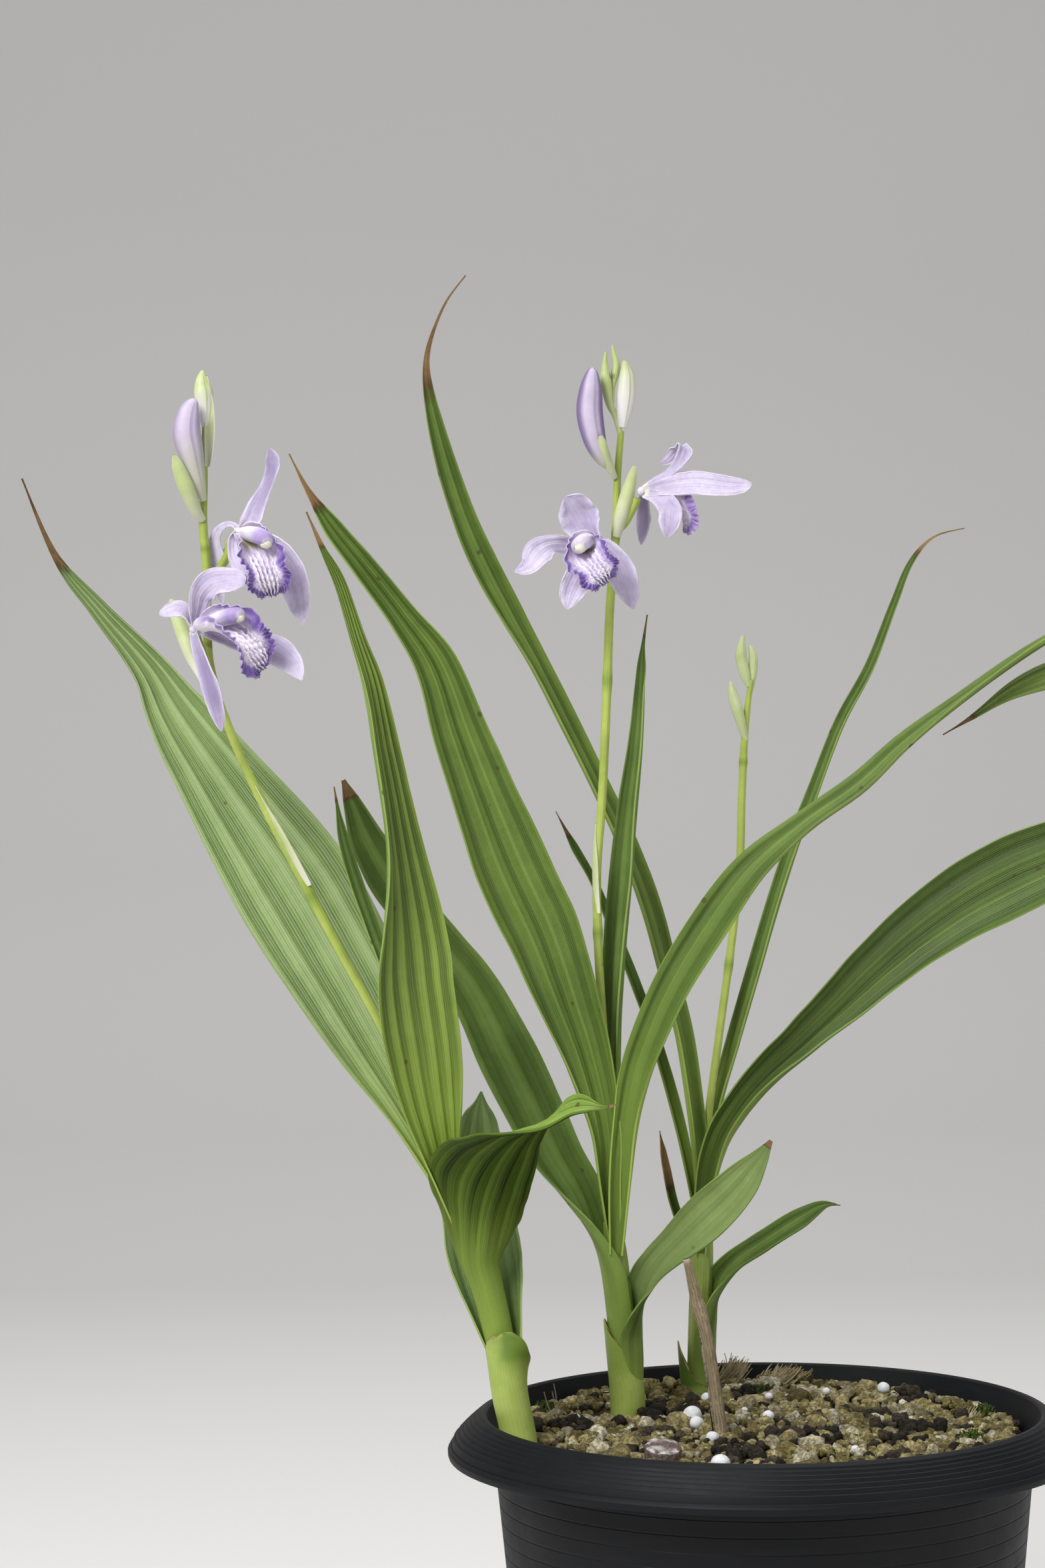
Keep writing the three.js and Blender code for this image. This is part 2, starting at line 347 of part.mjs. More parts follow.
// ---- blooms: five tepals at most, a frilled lip rolled round the column, all meeting at the hub ----
const blooms = {
  LeftUpper: {
    hub: [-144.8, -19.5, 400.4],
    dorsal: [
      [-144.1, -19.5, 400.6, 1.6, -10, 60], [-141.5, -19, 403.2, 3.1, -15, 30],
      [-139.5, -18, 407.7, 3, -25, 28], [-136.8, -17.5, 412.8, 2.6, -38, 30],
      [-135.2, -18, 417.2, 2.6, -38, 34], [-135.1, -19, 420.8, 2.1, -20, 24],
      [-136.1, -20, 423.7, 0.6, 0, 0],
    ],
    petalLeft: [
      [-144.9, -19, 400.6, 1.3, 40, 60], [-146.5, -17.5, 402.4, 1.1, 50, 40],
      [-149.1, -15, 402.3, 1.4, 52, 30], [-151.4, -12.5, 399.9, 1.9, 54, 30],
      [-152.2, -11, 395.5, 2.4, 56, 26], [-151.5, -10.5, 390.2, 2.4, 52, 24],
      [-150.7, -10.5, 384.9, 1.8, 44, 20], [-150.3, -10.5, 380.2, 0.6, 30, 0],
    ],
    sepalLeft: [
      [-145.3, -21, 400.1, 1.3, -60, 50], [-146, -23.5, 397.5, 1.5, -66, 40],
      [-145.5, -25.5, 393.7, 1.7, -60, 35], [-143.9, -26, 390.5, 1.9, -40, 30],
      [-141.7, -26, 388, 2, -20, 20], [-139.5, -26, 385.8, 0.6, -10, 0],
    ],
    sepalRight: [
      [-144, -18.5, 399.9, 1.6, 10, 60], [-138.3, -17.5, 397.8, 3.2, 12, 30],
      [-133.1, -18, 393.3, 4.3, 18, 25], [-129.7, -19, 387.2, 4.6, 22, 25],
      [-128.1, -20, 380.4, 3.4, 18, 20], [-127, -21, 374, 0.6, 10, 0],
    ],
    lip: [
      [-143.8, -20.5, 399.8, 2.6, -10, 110], [-140.9, -25, 397.4, 7.2, -14, 120],
      [-138.6, -29, 393.7, 8.2, -14, 100], [-137, -31.5, 389.9, 7.6, -10, 58],
      [-135.9, -32, 386.5, 6.8, -8, 24], [-135.3, -30.5, 383.8, 5.2, -6, 1],
      [-135.1, -28, 382.1, 3.2, -6, 1],
    ],
    column: [
      [-143.2, -21, 399.5, 1.3], [-140.8, -26, 398.4, 1.7], [-138.1, -30.5, 397.1, 1.8],
      [-136.2, -33.5, 396, 1.9], [-135.4, -34.8, 395.1, 1],
    ],
  },
  LeftLower: {
    hub: [-157.2, -24, 373.3],
    dorsal: [
      [-157, -24, 374.2, 1.4, 20, 60], [-155.7, -26, 378.6, 2.6, 24, 35], [-154, -28, 383.1, 3.4, 16, 28],
      [-150.8, -30, 385.9, 3.6, -20, 25], [-146.7, -32, 386.6, 2.6, -50, 22],
      [-143.9, -33, 386.9, 1.9, -60, 15], [-142.4, -33.5, 386.7, 0.6, -60, 0],
    ],
    petalLeft: [
      [-158, -24, 374.3, 1.4, 60, 60], [-159, -24.5, 377, 2.2, 50, 30], [-161.1, -25, 378.7, 2.7, 30, 25],
      [-164.1, -25.5, 378.2, 1.9, 20, 20], [-166.6, -26, 377.2, 0.6, 20, 0],
    ],
    sepalLow: [
      [-157.2, -24, 372.6, 1.4, 20, 60], [-155.9, -27, 368, 2, 34, 35], [-153.6, -29, 361.6, 2.7, 34, 30],
      [-151.5, -30, 354.7, 3, 28, 25], [-150.2, -29, 348.8, 2, 10, 20], [-149.6, -28, 344.6, 0.6, 0, 0],
    ],
    sepalRight: [
      [-156.3, -22.5, 373.2, 1.5, -20, 60], [-147.6, -21.5, 370.3, 2.6, -20, 35],
      [-139.4, -22.5, 368.5, 3.8, -20, 25], [-133.8, -24, 366.2, 4.4, -15, 25],
      [-129.6, -25, 362.6, 3, -10, 20], [-127.2, -26, 358.6, 0.6, 0, 0],
    ],
    lip: [
      [-155.8, -25.5, 373.2, 2.6, -50, 110], [-152.1, -29, 373.2, 7, -50, 125],
      [-147.7, -33, 372.4, 8.8, -52, 112], [-143.5, -35.5, 370.3, 9.2, -50, 66],
      [-140.4, -36, 367.3, 8.6, -45, 26], [-138.2, -34.5, 364, 6.8, -40, 1],
      [-137.1, -32.5, 362, 4, -38, 1],
    ],
    column: [
      [-154.7, -25.5, 373.8, 1.3], [-150.9, -30, 374.8, 1.7], [-147.1, -34, 375.5, 1.8],
      [-144.1, -37, 376.1, 1.9], [-142.9, -38.2, 376.2, 1],
    ],
  },
  CentreLeft: {
    hub: [-43, 20, 398.9],
    dorsal: [
      [-43.9, 20, 399.3, 2.2, 0, 50], [-46.8, 21, 402.7, 4.8, 0, 25], [-49, 21.5, 406.7, 6, 0, 16],
      [-51, 20, 410.1, 4.6, -6, 12], [-52.9, 18.5, 412.1, 1.4, -10, 0],
    ],
    petalLeft: [
      [-43.4, 19.4, 398.9, 1.6, 0, 50], [-51.2, 15, 398.1, 2.6, -10, 25], [-57, 12, 398, 2.8, -5, 20],
      [-60.9, 10, 395.6, 4.2, 10, 20], [-63.8, 9, 391.7, 2.8, 16, 15], [-67.9, 8.5, 390, 0.6, 0, 0],
    ],
    sepalRight: [
      [-42.6, 20, 398.7, 1.5, 10, 50], [-40.5, 17.5, 396.8, 2.8, 20, 30],
      [-37.5, 15.5, 391.4, 4.4, 15, 22], [-35.1, 14.5, 385, 3.6, 10, 20], [-33.5, 14.5, 379.1, 0.7, 0, 0],
    ],
    sepalLow: [
      [-43.6, 19, 398.5, 1.6, -10, 50], [-47, 14.5, 393, 2.6, -20, 30], [-49.8, 12, 387.9, 4, -10, 22],
      [-51.8, 11.5, 383.3, 3.4, 0, 20], [-52.8, 11.5, 379.2, 0.8, 0, 0],
    ],
    lip: [
      [-44.4, 17.5, 398.4, 2.8, 16, 110], [-46.8, 11.5, 396.5, 7, 14, 120],
      [-47.2, 6, 393.6, 8.2, 10, 96], [-46.1, 2.5, 390.5, 7.8, 4, 54], [-45, 1, 387.7, 7, 0, 20],
      [-44.1, 1.5, 385.9, 5.2, 0, 1], [-43.3, 3.5, 384.6, 3.2, 0, 1],
    ],
    column: [
      [-45, 17, 398.8, 1.3], [-47, 11.5, 398.2, 1.7], [-48.6, 6.5, 397.5, 1.9], [-49.7, 3, 396.9, 2.1],
      [-50.1, 1.6, 396.6, 1.1],
    ],
  },
  CentreRight: {
    hub: [-30.4, 25, 414.1],
    dorsal: [
      [-29.8, 25, 414.7, 1.5, -60, 50], [-26.4, 25, 416.8, 2, -60, 40],
      [-22.5, 25.5, 419.2, 1.6, -50, 30], [-19.5, 26, 421.9, 2, -36, 30],
      [-17.5, 27, 425.5, 2.2, -20, 30], [-18, 28, 427.7, 1.8, 10, 30], [-20.3, 29, 425.5, 1.6, 40, 20],
      [-22.3, 29.5, 423.6, 1.3, 40, 15], [-24.6, 30, 422.7, 0.6, 40, 0],
    ],
    petalNear: [
      [-29.5, 23.5, 413.8, 1.5, -15, 50], [-23.4, 19, 414.9, 2.8, -15, 25],
      [-15.4, 16, 415.5, 3.5, -10, 20], [-7.2, 14, 414.5, 3, -5, 20], [-2.1, 13, 414.3, 2.1, 0, 10],
      [1, 12.5, 414.8, 0.6, 0, 0],
    ],
    petalFar: [
      [-29.3, 26.5, 414.5, 1.5, -20, 50], [-23.6, 32, 416.8, 2.9, -20, 25],
      [-16.3, 37, 417.9, 3.3, -15, 20], [-9, 41, 417.2, 2.9, -10, 20], [-3.3, 44, 415.8, 0.6, 0, 0],
    ],
    sepalNear: [
      [-29.3, 23.5, 413.4, 1.5, -10, 50], [-25.4, 19, 411.4, 2.6, -15, 30],
      [-22.6, 16, 408.1, 3.3, 10, 25], [-22.9, 15, 403.8, 3.1, 10, 20], [-23.8, 15, 399.9, 0.7, 0, 0],
    ],
    sepalFar: [
      [-29.8, 26, 413.6, 1.4, 10, 50], [-29.6, 31, 410.5, 1.9, 20, 30], [-29.6, 33.5, 405.4, 2.2, 20, 25],
      [-30.4, 34, 399.2, 0.6, 10, 0],
    ],
    lip: [
      [-28.2, 25, 413.3, 2.8, -90, 110], [-24.7, 25, 412.3, 6.8, -90, 116],
      [-20.9, 25, 411.1, 8, -90, 92], [-17.4, 25, 409.1, 7.6, -90, 54], [-15.3, 25, 406.4, 6.6, -90, 20],
      [-14.7, 25, 403.8, 5, -90, 1], [-15.1, 25, 401.7, 3, -90, 1],
    ],
    column: [
      [-28.2, 25, 414.1, 1.3], [-24.9, 25, 414.8, 1.6], [-21.6, 25, 414.2, 1.7], [-18.9, 25, 413.2, 1.9],
      [-17.9, 25, 412.6, 1],
    ],
  },
};

// ---- buds ----
const buds = {
  budLeft: [
    [-155.1, -14.1, 409.8, 1], [-156.4, -16.6, 415.6, 2.1], [-158.1, -18, 422.7, 3.4],
    [-159.2, -18, 428.3, 3.7], [-158.6, -18, 433.9, 3], [-157.3, -17.5, 437.1, 1.6],
    [-156.9, -17.5, 438, 0.6],
  ],
  budTopLeft: [
    [-154.5, -12, 430.7, 1], [-154.6, -12, 435.4, 2], [-154.9, -12, 440.1, 2.6],
    [-155.3, -12, 443.5, 1.8], [-155, -12, 446.5, 0.6],
  ],
  budCentreLarge: [
    [-39.8, 26, 421.4, 1.1], [-41.8, 24.6, 424, 2.2], [-44.1, 23.5, 429.2, 3.2],
    [-45.5, 23.5, 437, 3.7], [-45.1, 23.5, 443.8, 3.2], [-44.6, 24, 448.7, 1.8],
    [-44.4, 24, 450.3, 0.6],
  ],
  budCentreGreen: [
    [-35.7, 29, 433.2, 1.2], [-35.3, 29, 437, 2.1], [-34.6, 29, 442.3, 2.6], [-34.3, 29, 447.8, 2.2],
    [-34.7, 29, 451.5, 1.2], [-34.7, 29, 452.9, 0.5],
  ],
  budCentreSmall: [
    [-36.3, 29, 431.2, 0.8], [-37.8, 29, 436.6, 0.9], [-39.5, 29, 440.6, 1.2],
    [-40.4, 29, 446.8, 1.7], [-40.6, 29, 452.2, 0.9], [-40.3, 29, 455.5, 0.4],
  ],
  budCentreTop: [
    [-38.9, 29.2, 439.2, 0.8], [-38.4, 30, 445.3, 0.8], [-37.6, 31, 449.4, 1.3],
    [-37.2, 31, 451.8, 1.2], [-37.9, 31, 455.3, 0.7], [-38.3, 31, 457.7, 0.4],
  ],
  budRightLow: [
    [1.1, 55, 341.4, 0.9], [-0.3, 54, 346.5, 1.5], [-1.7, 53.5, 351.5, 1.8], [-2.8, 53.5, 355.5, 1.4],
    [-3.4, 53.5, 359.1, 0.5],
  ],
  budRightTop: [
    [2.3, 55, 357.5, 0.8], [1.1, 55, 361.1, 1.6], [-0, 55, 366.5, 1.8], [0.2, 55, 370.5, 1.2],
    [0.7, 55, 372.8, 0.5],
  ],
  budRightSide: [
    [2.5, 56, 355.5, 0.8], [3.4, 56, 361.5, 1.4], [3.7, 56, 366.5, 1.3], [2.7, 56, 370, 0.5],
  ],
};

// ---- bracts and ovaries, carried by the flower stalks ----
const bracts = {
  bractLeftBud: [
    [-155, -13.5, 404, 2.2, 60, 110], [-157.1, -15.5, 407, 3.4, 40, 95],
    [-159.3, -18.5, 412.4, 3.8, 20, 80], [-161.3, -21, 417.8, 2.6, 10, 60],
    [-162.4, -22, 422, 0.5, 0, 0],
  ],
  bractLeftTop: [
    [-154.2, -13.3, 425.9, 1.8, -150, 90], [-154.2, -15, 432.3, 3.2, 180, 85],
    [-154.6, -15.5, 437.9, 3.4, 180, 75], [-154.8, -14.5, 443.6, 2, 180, 60],
    [-154.9, -13, 448.1, 0.4, 180, 0],
  ],
  bractLeftLow: [
    [-156.3, -12, 360.7, 2, 60, 110], [-159.2, -10, 366.1, 3.2, 50, 80],
    [-162, -9, 372.7, 3.2, 50, 70], [-164.1, -8.5, 378.8, 2, 50, 50], [-165.2, -8, 382.4, 0.4, 50, 0],
  ],
  bractLeftUpper: [
    [-153.6, -11, 388.3, 1.6, -40, 100], [-151, -10, 391.4, 2.4, -40, 70],
    [-149.1, -10, 394.7, 1.8, -40, 60], [-147.9, -10, 398.5, 0.5, -40, 0],
  ],
  bractCentre: [
    [-37.6, 28.8, 401.8, 2.4, -10, 110], [-35.9, 28.6, 406.8, 3.3, -10, 80],
    [-34.2, 29.2, 412.5, 3.3, -5, 65], [-32.8, 30, 418.3, 1.8, 0, 50], [-32.7, 30.4, 420.8, 0.4, 0, 0],
  ],
  bractCentreBud: [
    [-37.6, 28.4, 418.6, 1.6, 60, 100], [-40.5, 23.2, 422.4, 2.4, 10, 85],
    [-42.6, 20.5, 426.9, 2, 0, 70], [-43.2, 20, 429.8, 0.5, 0, 0],
  ],
  sheathScapeLeft: [
    [-127.5, -15, 300.9, 2.6, 90, 100], [-131.4, -16, 308.8, 2.7, 90, 100],
    [-136.4, -16, 318.8, 2.4, 90, 80], [-141.3, -16, 329.5, 0.5, 90, 0],
  ],
  sheathScapeCentre: [
    [-45.4, 30, 290.7, 2.4, 90, 90], [-45.9, 30, 298.6, 2.6, 90, 90], [-45.8, 30, 308.4, 2.2, 90, 75],
    [-44.9, 30, 317.2, 0.5, 90, 0],
  ],
  ovaryLeftUpper: [
    [-154.2, -13, 387.1, 0.9], [-151.4, -14, 389.6, 1.1], [-148.2, -16, 394.3, 1.3],
    [-147.3, -17.2, 397.4, 1.4], [-146.5, -17.9, 398.4, 1.3],
  ],
  ovaryLeftLower: [
    [-152.8, -15, 360, 0.9], [-154, -17.5, 362.9, 1.1], [-155.4, -20.5, 367.5, 1.3],
    [-156.5, -21.4, 369.9, 1.4], [-156.8, -22.2, 371.3, 1.3],
  ],
  ovaryCentreLeft: [
    [-38.5, 29, 396.4, 0.9], [-39.9, 26.5, 395.8, 1.1], [-40.4, 25.6, 396.4, 1.3],
    [-41.4, 23.9, 397.2, 1.4], [-42.3, 22, 398.1, 1.3],
  ],
  ovaryCentreRight: [
    [-37.4, 28.5, 402.8, 0.9], [-35.3, 27, 405, 1.1], [-33.3, 26, 408.8, 1.3],
    [-32.2, 25.6, 411.2, 1.4], [-31.8, 25.3, 412.1, 1.3],
  ],
};

// ---- old stalk left from last year's shoot ----
const oldStalk = [
  [-11.6, 2, 122, 1.8], [-11.8, 2, 142.8, 1.9], [-15.3, 2, 168.9, 1.9], [-17.6, 3, 178.1, 2.1],
  [-19.6, 3, 186.6, 1.5], [-21, 3, 192.7, 1.2],
];

// ---- flower stalks ----
const scapes = {
  Left: [
    [-85.5, -7, 208, 1.3], [-94.5, -11, 234.6, 1.3], [-106.7, -14, 261.1, 1.3],
    [-118.2, -15, 283, 1.3], [-127.9, -15, 301.8, 1.4], [-141.6, -15, 329.2, 1.3],
    [-150.1, -15, 349.7, 1.25], [-153.2, -15, 361.1, 1.2], [-154.3, -14, 370.5, 1.2],
    [-154.5, -13, 391.4, 1.2], [-155.3, -13, 402.9, 1.2], [-155.1, -12, 413.1, 1.1],
    [-154.5, -12, 430.7, 0.9],
  ],
  Centre: [
    [-41.4, 30.5, 196, 1.3], [-42.3, 31, 237.7, 1.3], [-43.9, 31, 265.2, 1.3],
    [-44.7, 30, 284.9, 1.3], [-44.7, 30, 304.4, 1.3], [-43, 30, 324, 1.3], [-41.3, 29, 353.4, 1.3],
    [-40, 29, 380.7, 1.3], [-38, 29, 402.2, 1.2], [-37.4, 29, 417.9, 1.1], [-36.1, 29, 432.2, 0.9],
  ],
  Right: [
    [-12.8, 58.5, 196, 1.1], [-11.5, 60, 224.7, 1.2], [-8, 59, 250.9, 1.2], [-3.9, 58, 279.1, 1.2],
    [-1.1, 57, 303.3, 1.2], [-0.3, 56, 323.4, 1.2], [0.7, 55, 341.6, 1.1], [2, 55, 353.5, 0.9],
    [3, 55, 359.5, 0.7],
  ],
};

// Which buds, bracts and ovaries grow as one body with each stalk.
const stalkParts = {
  Left: {
    blades: ["bractLeftBud", "bractLeftTop", "bractLeftLow", "bractLeftUpper", "sheathScapeLeft"],
    rods: ["ovaryLeftUpper", "ovaryLeftLower"],
  },
  Centre: {
    blades: ["bractCentre", "bractCentreBud", "sheathScapeCentre"],
    rods: ["ovaryCentreLeft", "ovaryCentreRight", "budCentreSmall", "budCentreTop"],
  },
  Right: { blades: [], rods: ["budRightLow", "budRightTop", "budRightSide"] },
};

// ---- assembly ----
const finishes = {
  pot: { color: 0x17181b, roughness: 0.5 },
  gravel: { color: 0x8f7a55, roughness: 0.95 },
  stalkOld: { color: 0x6b4c33, roughness: 0.9 },
  stem: { color: 0xa5c25a, roughness: 0.5 },
  leaf: { color: 0x5c8a2e, roughness: 0.5 },
  scape: { color: 0x9db84f, roughness: 0.5 },
  tepal: { color: 0xb9a3dc, roughness: 0.6 },
  lip: { color: 0x6d4bb5, roughness: 0.6 },
  column: { color: 0xe9e2ec, roughness: 0.5 },
};

const plant = new THREE.Group();
const placed = [];

const add = (name, finish, solid) => {
  const material = new THREE.MeshStandardMaterial({ ...finishes[finish], metalness: 0 });
  const mesh = new THREE.Mesh(geometryOf(solid), material);
  mesh.name = name;
  plant.add(mesh);
};

// Each piece is cut back by what was placed before it, so that neighbours stay a gap apart.
const cutBack = (solid) => (
  largest(placed.reduce((rest, fat) => (boxesMeet(rest, fat) ? rest.subtract(fat) : rest), solid))
);
const place = (name, finish, forms) => {
  const join = (grow) => forms.map((form) => form(grow)).reduce((a, b) => a.add(b));
  add(name, finish, cutBack(join(0)));
  placed.push(join(gap));
};

for (const [name, rows] of Object.entries(stems)) {
  place(`pseudostem${name}`, "stem", [(grow) => rod({ rows, sides: 8 }, grow)]);
}
place("oldStalk", "stalkOld", [(grow) => rod({ rows: oldStalk, sides: 6 }, grow)]);
for (const [name, rows] of Object.entries(sheaths)) {
  place(name, "stem", [(grow) => blade({ rows, across: 8 }, grow)]);
}
for (const [name, { blades, rods }] of Object.entries(stalkParts)) {
  place(`scape${name}`, "scape", [
    (grow) => rod({ rows: scapes[name], sides: 5 }, grow),
    ...blades.map((key) => (grow) => blade({ rows: bracts[key], across: 3, thick: petalThick }, grow)),
    ...rods.map((key) => (grow) => rod({ rows: buds[key] ?? bracts[key], sides: 5 }, grow)),
  ]);
}
for (const [name, { rows, across }] of Object.entries(leaves)) {
  const pleats = (s) => pleatHeight * Math.cos((Math.PI * (s + 1) * across) / 2);
  place(name, "leaf", [(grow) => blade({ rows, across, ripple: pleats }, grow)]);
}
for (const key of ["budLeft", "budTopLeft", "budCentreLarge", "budCentreGreen"]) {
  place(key, "tepal", [(grow) => rod({ rows: buds[key], sides: 6 }, grow)]);
}

// A lip's margin waves along its length, and crests run down its middle.
const frill = (s, u) => {
  const edge = frillHeight * Math.abs(s) ** 3 * Math.cos(6 * Math.PI * u);
  const crest = Math.abs(s) < 0.6 ? crestHeight * Math.cos(4 * Math.PI * s) : 0;
  return THREE.MathUtils.smoothstep(u, 0.2, 0.6) * (edge + crest);
};
for (const [name, { hub, lip, column, ...tepals }] of Object.entries(blooms)) {
  place(`tepals${name}`, "tepal", [
    (grow) => ball(...hub, hubRadius + grow),
    ...Object.values(tepals).map((rows) => (grow) => blade({ rows, across: 4, thick: petalThick }, grow)),
  ]);
  place(`column${name}`, "column", [(grow) => rod({ rows: column, sides: 5 }, grow)]);
  place(`lip${name}`, "lip", [
    (grow) => blade({ rows: lip, across: 6, thick: petalThick, ripple: frill }, grow),
  ]);
}

// Gravel: a packed bed with stones sunk into its top, holes for what stands in it, clear of the pot's wall.
const gravelSolid = () => {
  const bottom = floorTop + soilGap;
  const bedOf = (top, clear) => ring([
    [0, bottom], [inner(bottom) - 3, bottom], [inner(bottom + 3) - clear, bottom + 3],
    [inner(top) - clear, top], [0, top],
  ]);
  let bed = bedOf(soilTop, soilGap);
  const golden = Math.PI * (3 - Math.sqrt(5));
  for (let k = 0; k < stoneCount; k++) {
    const reach = (inner(soilTop) - 4) * Math.sqrt((k + 0.5) / stoneCount);
    const angle = k * golden;
    const stone = new THREE.IcosahedronGeometry(between(7.4, 11.4), 0);
    stone.scale(1, between(0.7, 1), between(0.42, 0.55));
    stone.rotateX(between(-0.35, 0.35)).rotateY(between(-0.35, 0.35)).rotateZ(between(0, Math.PI));
    const [x, y] = [reach * Math.cos(angle), reach * Math.sin(angle)];
    stone.translate(x, y, soilTop + soilRise * y + between(-1.4, 0.4));
    bed = bed.add(solidOf(stone));
  }
  bed = bed.intersect(bedOf(potHeight - 3, soilGap));
  const feet = Object.values(stems).map((rows) => [rows, stemHole]);
  for (const [rows, radius] of [...feet, [oldStalk, stickHole]]) {
    const [foot, neck] = rows;
    const hole = [[foot[0], foot[1], foot[2] - soilGap, radius], [neck[0], neck[1], neck[2], radius]];
    hole.push([2 * neck[0] - (neck[0] + foot[0]) / 2, neck[1], 1.5 * neck[2] - 0.5 * foot[2], radius]);
    bed = bed.subtract(rod({ rows: hole, sides: 10 }));
  }
  return cutBack(bed);
};
add("gravel", "gravel", gravelSolid());
add("pot", "pot", potSolid());

export default plant;
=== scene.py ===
# Bletilla orchid in its pot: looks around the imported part, in metres, in the part's own frame.
import math
import random
import bmesh
import bpy
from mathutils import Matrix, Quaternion, Vector, noise


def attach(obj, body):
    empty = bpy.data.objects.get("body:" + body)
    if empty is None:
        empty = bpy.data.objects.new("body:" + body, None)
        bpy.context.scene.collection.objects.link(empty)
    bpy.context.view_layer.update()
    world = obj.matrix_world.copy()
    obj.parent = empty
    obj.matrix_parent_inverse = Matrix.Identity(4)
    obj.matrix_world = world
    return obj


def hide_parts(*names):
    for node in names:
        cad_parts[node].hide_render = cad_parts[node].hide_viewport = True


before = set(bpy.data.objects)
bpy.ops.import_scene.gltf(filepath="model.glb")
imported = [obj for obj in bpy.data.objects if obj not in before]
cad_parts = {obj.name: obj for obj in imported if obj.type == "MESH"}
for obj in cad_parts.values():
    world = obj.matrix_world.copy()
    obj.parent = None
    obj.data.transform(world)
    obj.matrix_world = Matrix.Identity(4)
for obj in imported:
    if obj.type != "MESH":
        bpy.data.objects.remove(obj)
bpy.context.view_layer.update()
mm = 0.001  # every length below is in millimetres until it reaches a mesh
random.seed(11)


# ---- curves and forms ----
def smoothStep(value, low, high):
    t = min(max((value - low) / (high - low), 0), 1)
    return t * t * (3 - 2 * t)


def alongRows(rows, share):
    last = len(rows) - 1
    at = min(max(share, 0), 1) * last
    k = min(int(at), last - 1)
    f = at - k
    a, b, c, d = (rows[min(max(i, 0), last)] for i in (k - 1, k, k + 1, k + 2))
    return [q + 0.5 * f * (r - p + f * (2 * p - 5 * q + 4 * r - t + f * (3 * (q - r) + t - p)))
            for p, q, r, t in zip(a, b, c, d)]


def crossFrame(rows, share, turned=True):
    # place, heading and the two cross directions; the face looks to -Y before any turn
    row = alongRows(rows, share)
    ahead, behind = alongRows(rows, share + 0.004), alongRows(rows, share - 0.004)
    heading = (Vector(ahead[:3]) - Vector(behind[:3])).normalized()
    face = Vector((0, -1, 0))
    face = (face - heading * face.dot(heading)).normalized()
    if turned:
        face.rotate(Quaternion(heading, math.radians(row[4])))
    return row, Vector(row[:3]), heading, face, heading.cross(face)


marks = ("dry", "shade", "crest")  # painted values that the finishes read


def newForm():
    bm = bmesh.new()
    bm.loops.layers.uv.new("surface")
    for mark in marks:
        bm.verts.layers.float.new(mark)
    return bm


def addBlade(bm, rows, across, steps, thick, ripple=None, edge=None, paint=None, skins=(0, 0),
             calm=(50, 100)):
    # a grid laid on the row curve: rows are [x, y, z, half width, turn, curl of the half width];
    # the ripple dies out where the curl passes from the first to the second calm angle
    grid = bmesh.ops.create_grid(bm, x_segments=across, y_segments=steps, size=1, calc_uvs=True)["verts"]
    layers = {mark: bm.verts.layers.float[mark] for mark in marks}
    frames, depths = {}, {}
    for v in grid:
        s, u = v.co.x, (v.co.y + 1) / 2
        key = round(u, 5)
        if key not in frames:
            frames[key] = crossFrame(rows, u)
        row, place, _, face, side = frames[key]
        width = max(max(row[3], 0.3) * (1 + (edge(s, u) if edge else 0)), 0.12)
        radius = width / math.radians(max(row[5], 0.5))
        angle = s * width / radius
        normal = face * math.cos(angle) - side * math.sin(angle)
        spot = place + side * radius * math.sin(angle) + face * radius * (1 - math.cos(angle))
        if ripple:
            spot += normal * ripple(s, u) * min(1, width / 6) * (1 - smoothStep(row[5], *calm))
        depths[v] = thick * min(1, 0.3 + width / 5) * mm
        v.co = spot * mm + normal * depths[v] / 2
        for mark, value in (paint(s, u) if paint else {}).items():
            v[layers[mark]] = value
    upper = list({f for v in grid for f in v.link_faces})
    bm.normal_update()
    lower = bmesh.ops.duplicate(bm, geom=grid + list({e for f in upper for e in f.edges}) + upper)
    for v, depth in depths.items():
        lower["vert_map"][v].co = v.co - v.normal * depth
    under = [f for f in lower["geom"] if isinstance(f, bmesh.types.BMFace)]
    bmesh.ops.reverse_faces(bm, faces=under)
    rims = [e for e in {e for f in upper + under for e in f.edges} if e.is_boundary]
    rim = bmesh.ops.bridge_loops(bm, edges=rims)["faces"]
    for f in upper:
        f.material_index = skins[0]
    for f in under + rim:
        f.material_index = skins[1]


def addRod(bm, rows, sides, steps, swell=None, paint=None, skin=0):
    # a grid rolled round the row curve and closed at both ends: rows are [x, y, z, radius]
    known = set(bm.faces)
    grid = bmesh.ops.create_grid(bm, x_segments=sides, y_segments=steps, size=1, calc_uvs=True)["verts"]
    layers = {mark: bm.verts.layers.float[mark] for mark in marks}
    frames = {}
    for v in grid:
        turn, u = v.co.x * math.pi, (v.co.y + 1) / 2
        key = round(u, 5)
        if key not in frames:
            frames[key] = crossFrame(rows, u, turned=False)
        row, place, _, face, side = frames[key]
        reach = max(row[3], 0.1) * (1 + (swell(turn, u) if swell else 0))
        v.co = (place + (side * math.sin(turn) + face * math.cos(turn)) * reach) * mm
        for mark, value in (paint(turn, u) if paint else {}).items():
            v[layers[mark]] = value
    bmesh.ops.remove_doubles(bm, verts=grid, dist=1e-7)
    rims = [e for e in bm.edges if e.is_boundary]
    bmesh.ops.holes_fill(bm, edges=rims, sides=0)
    for f in set(bm.faces) - known:
        f.material_index = skin


